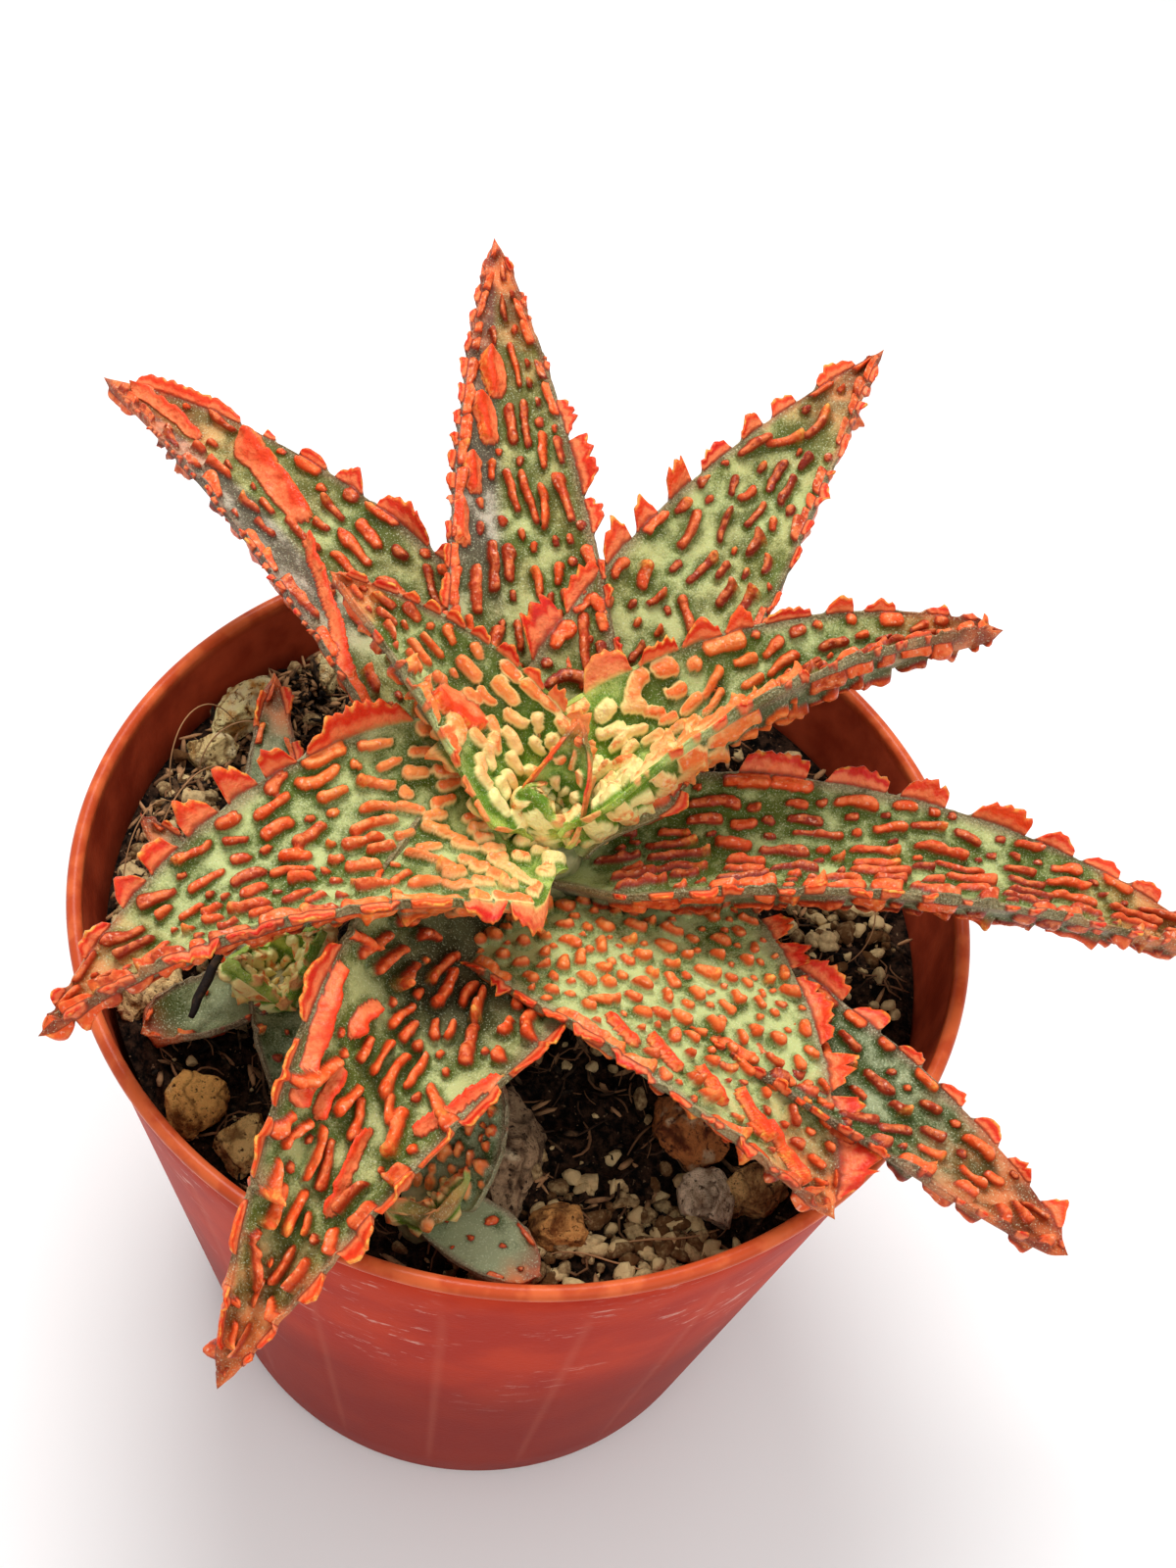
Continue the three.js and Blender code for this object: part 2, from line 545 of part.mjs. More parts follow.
const cutters = Object.values(STEMS).map((stem) => stemSolid(stem, GAP));
for (const stem of Object.values(STEMS)) part.add(meshOf(stem.name, stemSolid(stem), "stem"));
for (const row of LEAVES) {
  const leaf = { ...LEAF, ...row };
  let { solid, cutter: own } = leafSolids(leaf);
  for (const cutter of cutters) if (boxesMeet(solid, cutter)) solid = solid.subtract(cutter);
  part.add(meshOf(leaf.name, largestBody(solid), leaf.material));
  cutters.push(own);
}
for (const stone of STONES) {
  let solid = stoneSolid(stone);
  for (const cutter of cutters) if (boxesMeet(solid, cutter)) solid = solid.subtract(cutter);
  part.add(meshOf(stone.name, largestBody(solid), "stone"));
  cutters.push(stoneSolid(stone, GAP));
}
part.add(meshOf("soil", soilSolid(cutters), "soil"));

export default part;
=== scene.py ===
"""The looks of a potted aloe hybrid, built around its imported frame.

Sizes are in millimetres in the frame of the part: the origin is the centre of the pot's underside, +Z is up
and the front is towards -Y. mesh_object() turns them into metres.
"""

import itertools
import math

import bpy
import numpy as np
from mathutils import Matrix


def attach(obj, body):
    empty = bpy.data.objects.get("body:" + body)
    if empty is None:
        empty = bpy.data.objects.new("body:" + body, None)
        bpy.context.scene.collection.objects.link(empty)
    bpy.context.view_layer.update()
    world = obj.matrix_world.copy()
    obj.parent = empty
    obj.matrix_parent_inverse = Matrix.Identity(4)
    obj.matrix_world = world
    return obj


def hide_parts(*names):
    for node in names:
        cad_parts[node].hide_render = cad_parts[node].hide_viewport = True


MM = 0.001

# Pot
RIM_RADIUS = 45.0
POT_HEIGHT = 80.0
BASE_RADIUS = 33.0
WALL = 0.9
FLOOR = 2.0
LIP_WIDTH = 0.6
LIP_HEIGHT = 1.4
DRAIN_HOLES = 6
DRAIN_RADIUS = 2.5
DRAIN_CIRCLE = 17.0
DRAIN_SIDES = 48
SEAMS = 20
SEAM_DEPTH = 0.08
COLUMNS_PER_SEAM = 15

# Soil
SOIL_LEVEL = 70.0
BANK_HEIGHT = 3.5
BANK_FOOT = 20.0
BANK_WIDTH = 22.0
SOIL_GAP = 0.35
SOIL_RINGS = 84
SOIL_SIDES = 240

# Leaf blade
EDGE = 0.9
TIP_THICKNESS = 1.1
TIP_POINT = 0.5
THINNING = 0.8
ROOT_WIDTH = 0.8
NECK = 0.45
NECK_END = 0.14
LAST_STATION = 0.996
CELL_ALONG = 0.25
CELL_ACROSS = 0.25
CELL_BELOW = 0.55
PLATE_CELLS = 5
PLATE_EDGE = 0.24

STEMS = {
    "main": dict(node="stem", x=1.5, y=-1.5, foot=58, top=88, radii=(6.5, 3.4)),
    "left": dict(node="offset_left_stem", x=-21.5, y=-14.5, foot=62, top=75.5, radii=(2.8, 2)),
    "front": dict(node="offset_front_stem", x=-4, y=-34, foot=62, top=74.5, radii=(2.6, 1.8)),
}
STEM_ROWS = 30
STEM_SIDES = 40

# What a leaf has where its own row below doesn't say otherwise. The first lines are its form, as in the
# solids. spacing is how far apart its warts lie, long their length, slant and spread how they turn, proud
# how high they stand, spike how often they end in a point, and below the same spacing on the underside. bare
# is the share of the length at the root that has no warts. tint and olive shift the skin's colour and warm
# the warts'. worn is the side, 1 or -1, on which the skin is dry, grey and bare of warts, and the painted
# root shade is the share of the length over which the middle of the channel at the root is darkened as
# painted shade. youth is how much the root has the heart's pale colours, which are gone at the share fade of
# the length. marks are the large flaps on the upper face: distance from the root, place across from 1 to -1,
# half length, radius, height, turn, and the side on which they stand free.
LEAF = dict(
    stem="main", sweep=0, droop=0, roll=0, twist=0, fold=0.3, unfold=0, belly=0.9, taper=0.95, thick=5,
    slot="leaf",
    spacing=3.6, long=(1.6, 4.4), slant=0, spread=16, proud=1, spike=0.15, below=4, bare=0.1,
    tint=0, olive=0.2, warm=0.5, worn=0, painted_root_shade=0, youth=0.1, fade=0.5, marks=(), left={}, right={},
)

# What a margin has where a leaf's row doesn't say otherwise. The plates are listed where the photo
# shows them, as distance from the root, length and height, and the rest follow by a seeded rule from tall,
# reach and gaps. lean is how far they turn up from the blade, teeth how deep their crest is cut, and swollen
# how much of the margin carries a row of long swellings.
MARGIN = dict(tall=(1.2, 2.6), reach=(2.2, 5), gaps=0.3, lean=24, teeth=0.5, swollen=0.25, plates=())
BUMPS = dict(tall=(0.7, 1.4), reach=(1.2, 2.6), gaps=0.15, lean=-6, teeth=0.25, swollen=0.8)
RIBBON = dict(teeth=0.06, lean=10, swollen=0)
FINE_TEETH = dict(tall=(0.5, 1), teeth=0.3)

# What the young and the old leaves of the offsets share.
OFFSET_HEART = dict(
    thick=2.4, slot="heart_leaf", youth=1, fade=3, spacing=2, long=(0.6, 1.6), below=1.9, bare=0.03,
    left=FINE_TEETH, right=FINE_TEETH,
)
OFFSET_OLD = dict(thick=3, slot="old_leaf", youth=0, spacing=9, long=(0.5, 1), below=9, olive=0)

LEAVES = {
    "leaf_heart": dict(
        height=89, heading=62, sweep=30, rise=74, droop=-12, length=12.5, width=6.2, fold=0.8, thick=2.6,
        slot="heart_leaf", seed=1,
        youth=1, fade=1.5, spacing=3.6, long=(0.4, 0.8), below=3.4, bare=0.04,
        left=dict(RIBBON, plates=((0.8, 10.6, 1.3),)),
        right=dict(RIBBON, plates=((0.8, 10.6, 0.8),)),
    ),
    "leaf_heart_small": dict(
        height=89, heading=200, rise=66, droop=10, length=8, width=5.5, fold=0.8, thick=2.4,
        slot="heart_leaf", seed=2,
        youth=1, fade=3, spacing=2, long=(0.6, 1.4), below=1.8, bare=0.04,
        left=dict(tall=(0.6, 1.1), teeth=0.2),
        right=dict(tall=(0.6, 1.1), teeth=0.2),
    ),
    "leaf_inner_right": dict(
        height=90.5, heading=42, sweep=-25, rise=32, droop=-29, length=48, width=13, roll=-11, twist=-11,
        fold=0.7, unfold=0.05, belly=0.6, taper=0.85, thick=4.4, seed=3,
        youth=1, fade=0.74, spacing=2.7, below=2.5, bare=0.03, long=(1.6, 3.6), olive=0, tint=-0.1,
        left=dict(
            plates=((9.5, 4.6, 3.6), (14.8, 3.8, 2.6), (19, 3.6, 2.8), (23, 2.6, 2.2), (26.6, 4.4, 1.4),
                (32, 2.6, 2), (35.5, 3, 1.6)),
            lean=46, teeth=0.4,
        ),
        right=dict(tall=(0.6, 1.3), reach=(1.4, 3.4), gaps=0.4, lean=0, teeth=0.55, swollen=0.5),
    ),
    "leaf_inner_left": dict(
        height=90.5, heading=146, sweep=12, rise=40, droop=-22, length=31.5, width=13, roll=-5, twist=13,
        fold=0.4, belly=1, taper=1.05, thick=3.6, seed=4,
        youth=0.9, fade=1.05, spacing=2.7, bare=0.03, long=(1.2, 2.8), olive=0,
        marks=((14, 0.2, 1.2, 1.8, 1.3, 20, 1),),
        left=dict(tall=(0.8, 1.6), reach=(1.6, 3)),
        right=dict(tall=(1.4, 2.6), reach=(2.4, 4), gaps=0.1, lean=40),
    ),
    "leaf_left": dict(
        height=89, heading=204, sweep=28, rise=23, droop=-46, length=52.5, width=22, roll=-6, twist=29,
        fold=0.32, unfold=0.05, belly=1.2, taper=1.18, seed=5,
        youth=0.8, fade=0.62, spacing=2.9, below=3, bare=0.03, tint=0.5, olive=0, warm=0.45,
        left=dict(
            plates=((3.4, 6.4, 3.4), (10, 4.6, 2.6), (15.4, 4, 1.8)),
            tall=(1.1, 1.9), reach=(4, 7), gaps=0.1, lean=-24, teeth=0.35, swollen=1,
        ),
        right=dict(
            plates=((11.5, 9.6, 4.2), (22, 3, 3.4), (25.6, 3, 4.5), (29.6, 3.4, 4), (34, 3, 2.6),
                (37.6, 3, 2.4), (42, 3.6, 1.6)),
            lean=30, teeth=0.3,
        ),
    ),
    "leaf_back_right": dict(
        height=87.5, heading=71, sweep=-12, rise=26, droop=-9, length=63, width=19, roll=2, twist=-6,
        fold=0.31, belly=1.15, taper=1.07, warm=0.1, seed=6,
        youth=0.2, spacing=3.6, spike=0.35, spread=22, tint=0.5, olive=0.5,
        left=dict(
            plates=((14.5, 5, 4.2), (20.2, 5.4, 2.6), (26.4, 3.8, 3.4), (31, 2.6, 3.2), (35.6, 3, 3.8),
                (40, 4, 1.9), (45.2, 3, 2.2), (49.4, 3, 1.7), (54.6, 5, 1.9)),
            lean=14, teeth=0.4,
        ),
        right=dict(BUMPS, reach=(1.4, 4.4), tall=(0.9, 1.8)),
    ),
    "leaf_back": dict(
        height=85.5, heading=108, sweep=-3, rise=30, droop=-13, length=66, width=17, roll=-3, fold=0.34,
        belly=0.9, taper=0.98, warm=0.4, seed=7,
        youth=0.15, spacing=3, spread=7, long=(2.5, 6.5), tint=-0.35, olive=0.8, worn=1,
        marks=((49.5, 0.3, 1.4, 1.3, 1.5, 4, 1), (44.5, 0.5, 1.6, 1.1, 1.4, 8, 1),
            (38.5, 0.72, 1.2, 1, 1.3, 0, 1), (33, 0.86, 1.4, 0.9, 1.2, 6, 1)),
        left=dict(BUMPS, tall=(0.9, 1.6), reach=(2, 4)),
        right=dict(plates=((31, 4, 2), (35.4, 6, 3), (42, 4, 2)), tall=(0.9, 1.8), lean=20),
    ),
    "leaf_back_left": dict(
        height=84.5, heading=134, sweep=17, rise=25, droop=-29, length=71.5, width=19.5, roll=-1, twist=9,
        belly=0.75, taper=0.94, thick=5.5, warm=0.3, seed=8,
        youth=0.15, spacing=3.4, spread=8, long=(1.8, 5.5), tint=-0.15, olive=0.8, worn=1,
        marks=((48.6, -0.36, 4.8, 1.5, 1.6, -10, -1), (32.5, 0.6, 8.8, 0.5, 1.6, -28, -1),
            (63, -0.2, 4.6, 0.8, 1.1, -4, -1)),
        left=dict(BUMPS, reach=(0.8, 1.8), teeth=0.1, swollen=0.5),
        right=dict(
            plates=((24.8, 6.8, 3), (32.2, 7, 3.1), (41, 3.6, 2.2), (45.4, 3.4, 1.3), (56, 12, 1.7)),
            lean=26, teeth=0.22,
        ),
    ),
    "leaf_right": dict(
        height=84, heading=7.5, sweep=-11, rise=20, droop=-39, length=70.5, width=16, roll=-6, twist=-12,
        fold=0.36, unfold=0.06, belly=1, taper=0.91, warm=0.4, seed=9,
        youth=0.1, spacing=2.85, spread=6, long=(2.4, 6), below=2.8, tint=0, olive=0.1,
        left=dict(
            plates=((18.6, 6.6, 2.7), (27, 6, 2.4), (34, 4.6, 2.8), (41, 5.6, 3), (47.6, 4, 2),
                (52.4, 4, 1.6)),
            lean=30, teeth=0.28,
        ),
        right=dict(tall=(0.9, 1.7), reach=(1.4, 3.4), gaps=0.6, lean=-10, teeth=0.3, swollen=0.7),
    ),
    "leaf_front": dict(
        height=81.5, heading=-41, sweep=-10, rise=23, droop=-40, length=45.5, width=28, roll=-7, twist=-12,
        fold=-0.05, unfold=0.33, belly=1.1, taper=1, warm=0.65, seed=10,
        youth=0.34, fade=1.3, spacing=2.7, spread=20, long=(0.4, 1.5), tint=1.4, olive=0,
        marks=((22, -0.72, 1.5, 0.8, 1.2, -4, -1), (26, -0.62, 1.6, 0.8, 1.2, -6, -1),
            (30.5, -0.5, 1.5, 0.8, 1.3, -8, -1), (34.4, -0.3, 1.7, 0.9, 1.4, -6, -1),
            (38.6, -0.3, 2.6, 0.8, 1.5, -4, -1)),
        left=dict(
            plates=((9.8, 7, 2), (17.4, 2.8, 2.8), (20.6, 3, 3.2), (24.6, 7, 2.2), (32.4, 3.4, 3.6),
                (36.2, 8.4, 4)),
            lean=36, teeth=0.5,
        ),
        right=dict(tall=(1, 2), reach=(3, 7), gaps=0.05, lean=-6, teeth=0.5, swollen=0.7),
    ),
    "leaf_front_left": dict(
        height=80, heading=247, sweep=9, rise=30, droop=-62, length=61, width=24, roll=-17, fold=0.48,
        belly=0.45, taper=1, thick=4.6, warm=0.8, seed=11,
        youth=0.2, spacing=2.85, slant=14, long=(2.8, 5.4), below=3.2, proud=1.6, tint=0.2, olive=0.3,
        # The channel near the root carries painted shade.
        bare=0.3, painted_root_shade=0.5,
        marks=((32.8, -0.87, 5.4, 0.6, 1.3, 16, 1), (28.4, -0.46, 1.4, 0.8, 1.1, -4, 1),
            (35.5, -0.43, 1.8, 0.7, 1.1, 0, 1), (31, 0.9, 4, 0.5, 1.1, -23, -1),
            (40.5, 0.34, 3.6, 0.6, 1.2, 4, -1)),
        left=dict(
            plates=((19, 7.6, 2.4), (28, 5, 2.1), (33.6, 4.4, 2), (38.4, 4.4, 2.6), (43.2, 4, 2.8),
                (49, 3, 2)),
            lean=24, teeth=0.15,
        ),
        right=dict(
            plates=((26, 7, 2.6), (34, 5.6, 2.1), (40.4, 4.6, 2.2), (46.4, 4.4, 1.4), (53, 5, 1.5)),
            lean=26, teeth=0.15,
        ),
    ),
    "leaf_front_right": dict(
        height=79, heading=-31, rise=14, droop=-20, length=61, width=14, roll=-9, twist=-3, belly=1,
        taper=0.7, thick=4.6, slot="old_leaf", warm=0.4, seed=12,
        youth=0, spacing=3.3, long=(1.4, 3.4), tint=-0.4, olive=0.1,
        left=dict(
            plates=((25.6, 5.8, 2.6), (32.6, 3.4, 2.2), (38, 3, 1.3), (43, 3.2, 1.3), (47.4, 3.4, 1.6),
                (52, 3, 1.3), (56.6, 3.6, 2.6)),
            lean=20, teeth=0.3,
        ),
        right=dict(tall=(0.7, 1.8), reach=(1.6, 4)),
    ),
    "offset_left_leaf_heart": dict(
        OFFSET_HEART, stem="left", height=73.5, heading=30, rise=62, droop=10, length=9.5, width=6.5,
        fold=0.6, seed=13,
    ),
    "offset_left_leaf_young": dict(
        OFFSET_HEART, stem="left", height=73, heading=205, rise=52, droop=8, length=9, width=6.5, fold=0.5,
        seed=14,
    ),
    "offset_left_leaf_back": dict(
        OFFSET_OLD, stem="left", height=73.5, heading=108, sweep=-6, rise=22, droop=-6, length=33, width=8,
        fold=0.35, seed=15, tint=1,
        left=dict(plates=((26.5, 4, 1.5),), tall=(0.3, 0.6), gaps=0.1),
        right=dict(plates=((22, 3, 1.3), (28, 3.6, 1.6)), tall=(0.3, 0.6), gaps=0.1),
    ),
    "offset_left_leaf_side": dict(
        OFFSET_OLD, stem="left", height=73, heading=142, rise=18, droop=-8, length=23, width=6.5, fold=0.4,
        thick=2.8, seed=16, tint=0.6,
        left=dict(tall=(0.5, 1.2), gaps=0.1),
        right=dict(tall=(0.8, 1.6), gaps=0.1),
    ),
    "offset_left_leaf_left": dict(
        OFFSET_OLD, stem="left", height=73.5, heading=213, sweep=3, rise=6, droop=-6, length=14, width=6,
        fold=0.45, belly=2.2, taper=0.5, thick=3.2, seed=17,
        youth=0.05, olive=0.2,
        left=dict(tall=(0.3, 0.6), gaps=0.1, teeth=0.2),
        right=dict(tall=(0.3, 0.6), gaps=0.1, teeth=0.2),
    ),
    "offset_left_leaf_front": dict(
        OFFSET_OLD, stem="left", height=74, heading=285, sweep=6, rise=8, droop=-14, length=16, width=6,
        seed=18,
        youth=0.1, spacing=5, long=(0.6, 1.4), below=6, tint=0.3,
        left=dict(tall=(0.3, 0.7), gaps=0.1),
        right=dict(tall=(0.3, 0.7), gaps=0.1),
    ),
    "offset_front_leaf_heart": dict(
        stem="front", height=73, heading=300, rise=50, droop=14, length=6.5, width=8, fold=0.5, belly=2,
        taper=0.5, thick=2.2, slot="heart_leaf", seed=19,
        youth=0.9, fade=2, spacing=2.6, long=(0.6, 1.4), below=6,
        left=dict(tall=(0.5, 0.9), teeth=0.2, gaps=0),
        right=dict(tall=(0.5, 0.9), teeth=0.2, gaps=0),
    ),
    "offset_front_leaf_back": dict(
        OFFSET_OLD, stem="front", height=73, heading=72, sweep=4, rise=46, droop=-16, length=15, width=10.5,
        belly=1.6, taper=0.7, seed=20,
        youth=0.5, fade=1.4, spacing=2.3, long=(0.3, 1), below=2.4, tint=1.4,
        left=dict(tall=(0.3, 0.7), gaps=0.1),
        right=dict(tall=(0.3, 0.7), gaps=0.1),
    ),
    "offset_front_leaf_side": dict(
        OFFSET_OLD, stem="front", height=73.6, heading=-22, rise=0, droop=-8, length=12.8, width=6.5,
        fold=0.1, belly=2, taper=0.6, seed=21, spacing=4.4, long=(0.2, 0.8), proud=0.5, tint=2.2,
        left=dict(tall=(0.15, 0.4), gaps=0.2),
        right=dict(tall=(0.15, 0.4), gaps=0.2),
    ),
}

# tones are the stone's dark and light colours, and white how much of it is a pale crust.
STONES = {
    "stone_long": dict(
        x=3, y=-26.5, size=(3.6, 7, 3.2), turn=12, lift=0.8, tones=((84, 60, 40), (196, 160, 122)),
        white=0.1,
    ),
    "stone_brown": dict(
        x=9.3, y=-33, size=(3, 2.3, 2), turn=20, lift=0.4, tones=((120, 66, 26), (226, 158, 88)), white=0.1,
    ),
    "stone_brown_white": dict(
        x=19.5, y=-20.5, size=(4.2, 3.2, 2.6), turn=-25, lift=0.6, tones=((112, 50, 24), (216, 132, 72)),
        white=0.5,
    ),
    "stone_grey": dict(
        x=22.8, y=-27.2, size=(2.8, 3, 2.4), turn=15, lift=0.6, tones=((156, 122, 92), (244, 216, 180)),
        white=0.35,
    ),
    "stone_tan_front": dict(
        x=26.6, y=-25.4, size=(3.6, 2.6, 2.2), turn=44, lift=0.5, tones=((144, 90, 46), (246, 194, 124)),
        white=0.25,
    ),
    "stone_rough_left": dict(
        x=-34.4, y=-16.2, size=(3.6, 4.6, 2.8), turn=-20, lift=0.4, tones=((150, 84, 28), (250, 210, 144)),
        white=0.35,
    ),
    "stone_ridged_left": dict(
        x=-27, y=-27.4, size=(2.8, 3.8, 2.6), turn=-30, lift=0.4, tones=((134, 74, 24), (250, 184, 100)),
        white=0.15,
    ),
    "stone_tan_left": dict(
        x=-21.8, y=-30.4, size=(2.2, 3.2, 2.2), turn=-15, lift=0.4, tones=((146, 88, 30), (254, 208, 130)),
        white=0.25,
    ),
    "stone_pale_back": dict(
        x=-34, y=19.4, size=(4.6, 2.8, 2.4), turn=56, lift=0.6, tones=((222, 140, 44), (255, 238, 168)),
        white=0.7,
    ),
    "stone_pale_left": dict(
        x=-35.6, y=12.6, size=(2.6, 2.4, 2), turn=10, lift=0.4, tones=((190, 136, 68), (255, 226, 156)),
        white=0.4,
    ),
    "stone_pale_far": dict(
        x=-26.6, y=28, size=(2.8, 2.4, 2.2), turn=-10, lift=0.4, tones=((194, 140, 76), (255, 232, 166)),
        white=0.4,
    ),
}
STONE_FACETS = 14
STONE_FINENESS = 5

# Loose pieces on the soil: how many lie all over it, and how many in heaps.
GRIT_ALL_OVER = 420
GRIT_IN_HEAPS = 760
GRIT_FACETS = 4
CHIPS_ALL_OVER = 900
CHIPS_IN_HEAPS = 900
FIBRES = 1000

# Where the loose pieces lie close together: x, y and spread.
GRIT_HEAPS = (
    (26, -8, 4), (31, -3, 3), (32, -10, 3), (12, -33, 4), (19, -31, 3), (3, -36, 3), (-38, -3, 2.5),
    (-36, 6, 3), (33, 6, 3), (5, 36, 4), (-38, -10, 2), (20, -34, 3),
)
CHIP_HEAPS = ((-36, 2, 5), (-32, 14, 5), (-30, 24, 4), (-36, -6, 4))

# Roots that stand out of the soil, most of them by the left wall, and a dark twig: points along each, then
# its radius.
ROOTS = (
    (((-38, -2, 72), (-37.5, 1, 76), (-36, 6, 77), (-34, 11, 73)), 0.1),
    (((-37, 4, 72), (-38.5, 8, 78), (-37, 13, 80), (-33.5, 16, 74)), 0.08),
    (((-36, 9, 72), (-35, 12, 77), (-31, 14, 78), (-28, 13, 73)), 0.09),
    (((-34, -4, 72), (-31, -2, 75.5), (-30, 3, 76), (-32, 7, 73)), 0.08),
    (((-39, -8, 73), (-39.6, -5, 77), (-38.6, 0, 79), (-36, 3, 75)), 0.07),
    (((14, -34, 70), (17, -33, 71.6), (20, -32.4, 71.8), (24, -30, 70.4)), 0.12),
    (((8, -36, 70), (12, -35.4, 71.4), (17, -36, 71.6), (21, -34, 70)), 0.1),
    (((34, 2, 71), (36, 5, 75), (34.5, 8.5, 76), (31, 8, 72.5)), 0.09),
)
TWIG = (((-28.6, -21.6, 77.2), (-28.2, -18, 77.8), (-27.2, -14.6, 79)), 0.5)

# Camera: its place, and how it looks down and turns to match the photo.
CAMERA_PLACE = (4.27, -116.76, 244.06)
CAMERA_ELEVATION = 51.82
CAMERA_ROLL = 10.35
CAMERA_LENS = 46.23
SENSOR = 36.0

# Lamps and floor
LAMP_TARGET = (0, 0, 70)
LAMPS = {
    "key": dict(spot=(-60, 150, 440), size=200, power=1.35),
    "fill": dict(spot=(200, -240, 300), size=320, power=0.3),
}
SKY_STRENGTH = 0.72
FLOOR_HALF = 4000


# Numbers


# The whole-number steps that scramble a place into a number.
AXIS_STEPS = (73856093, 19349663, 83492791)
SEED_STEP = 668265263
SCRAMBLES = ((15, 2246822519), (13, 3266489917))
LAST_SHIFT = 16
WORD = 0xFFFFFFFF


class RandomStream:
    """Seeded draws with the calls that this script needs."""

    def __init__(self, seed):
        self.state = np.random.RandomState(seed)

    def random(self):
        return self.state.random_sample()

    def uniform(self, low, high):
        return self.state.uniform(low, high)

    def gauss(self, middle, spread):
        return self.state.normal(middle, spread)


def lattice(cells, seed):
    """A repeatable number from 0 to 1 for each whole-numbered place."""
    mixed = (cells.astype(np.int64) * np.array(AXIS_STEPS)).sum(-1) + seed * SEED_STEP
    mixed &= WORD
    for shift, factor in SCRAMBLES:
        mixed = ((mixed ^ (mixed >> shift)) * factor) & WORD
    return (mixed ^ (mixed >> LAST_SHIFT)) / WORD


def noise(points, size, seed):
    """Smooth noise from -1 to 1 at points, with lumps of about the given size."""
    places = np.asarray(points, float) / size
    low = np.floor(places)
    part = places - low
    part = part * part * (3 - 2 * part)
    total = 0
    for corner in itertools.product((0, 1), repeat=3):
        weight = np.prod(np.where(np.array(corner) == 1, part, 1 - part), axis=-1)
        total = total + weight * lattice(low + np.array(corner), seed)
    return 2 * total - 1


def rough(points, size, seed, octaves):
    """Noise with finer lumps on its lumps."""
    return sum(noise(points, size / 2**k, seed + k) / 2**k for k in range(octaves))


def smoothstep(low, high, value):
    share = np.clip((value - low) / (high - low), 0, 1)
    return share * share * (3 - 2 * share)


def unit(vectors):
    return vectors / np.maximum(np.linalg.norm(vectors, axis=-1, keepdims=True), 1e-9)


# Meshes


def mesh_object(name, points, faces, material, fields=None):
    """A smooth mesh from points in millimetres, with fields of one number for each point."""
    mesh = bpy.data.meshes.new(name)
    mesh.from_pydata((np.asarray(points) * MM).tolist(), [], [list(face) for face in faces])
    mesh.polygons.foreach_set("use_smooth", np.ones(len(mesh.polygons), bool))
    for field, values in (fields or {}).items():
        attribute = mesh.attributes.new(field, "FLOAT", "POINT")
        attribute.data.foreach_set("value", np.asarray(values, np.float32).ravel())
    mesh.materials.append(material)
    mesh.update()
    piece = bpy.data.objects.new(name, mesh)
    bpy.context.scene.collection.objects.link(piece)
    return piece


def grid_faces(rows, columns):
    """Quads of a tube whose points come row by row."""
    i, k = np.meshgrid(np.arange(rows - 1), np.arange(columns), indexing="ij")
    after = (k + 1) % columns
    here = i * columns
    beyond = here + columns
    return np.stack([here + k, beyond + k, beyond + after, here + after], -1).reshape(-1, 4)


def pointed_faces(rows, columns, turned):
    """Faces of a tube closed by one point at each end, which are the two points after its own."""
    count = rows * columns
    faces = grid_faces(rows, columns).tolist()
    for k in range(columns):
        after = (k + 1) % columns
        faces.append([k, after, count])
        faces.append([count - columns + k, count + 1, count - columns + after])
    return [face[::-1] for face in faces] if turned else faces


def capped_faces(rows, columns, first):
    """Faces of a tube closed by one flat face at each end, from the point numbered first."""
    faces = (grid_faces(rows, columns)[:, ::-1] + first).tolist()
    faces.append(list(range(first, first + columns))[::-1])
    last = first + (rows - 1) * columns
    faces.append(list(range(last, last + columns)))
    return faces


def circle(sides):
    """Angles of evenly spaced points round a circle."""
    return np.arange(sides) * 2 * np.pi / sides


def place(piece, slot, *nodes):
    """The piece rides in the frame and stands for its CAD nodes, which it hides. The slot is not used."""
    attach(piece, "root")
    if nodes:
        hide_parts(*nodes)


# Leaves


# The rounds in which warts are thrown on a face: throws for each square of the spacing, then the share that
# they have of the leaf's wart length, radius and height, and how many may lie side by side. The long ones
# come first and round ones fill the rest.
ROUNDS = (
    dict(throws=1.6, length=1, radius=1, height=1, abreast=3.6),
    dict(throws=4, length=0.5, radius=0.95, height=0.9, abreast=2.4),
    dict(throws=20, length=0.12, radius=0.72, height=0.66, abreast=1.6),
)

# Ranges from which the warts are drawn. near_tip is what the taper of the leaf takes off them at its tip.
WART = dict(radius=(0.5, 0.84), height=(0.75, 1.4), near_tip=0.3, apart=0.5, beside=(0.52, 0.7))
YOUNG_WART = dict(radius=(0.56, 0.74), core=(0.5, 1.2), height=(1, 1.5), apart=0.33)
RIM_WART = dict(core=(0.3, 1.9), radius=(0.55, 0.9), height=(0.7, 1.25), gap=(0.5, 1.5), tone=(0.4, 1))
YOUNG = 0.5
LAST_WART = 0.97
FULL_SIZE_WIDTH = 24

# The parts of a leaf that stay nearly bare: the underside's middle, and a band beside a worn margin.
UNDER_BARE = dict(half=0.35, share=0.7)
WORN_BAND = dict(start=0.35, inner=0.2, outer=0.8)

# How a wart's outline wanders, as depth and size of the lumps, and how knobbly it is.
WANDER = 0.2
WANDER_ALONG = 2.1
WANDER_ACROSS = 1.9
FINE_WANDER = 0.1
FINE_SIZE = 0.7
KNOB = 0.26
KNOB_SIZE = 0.95

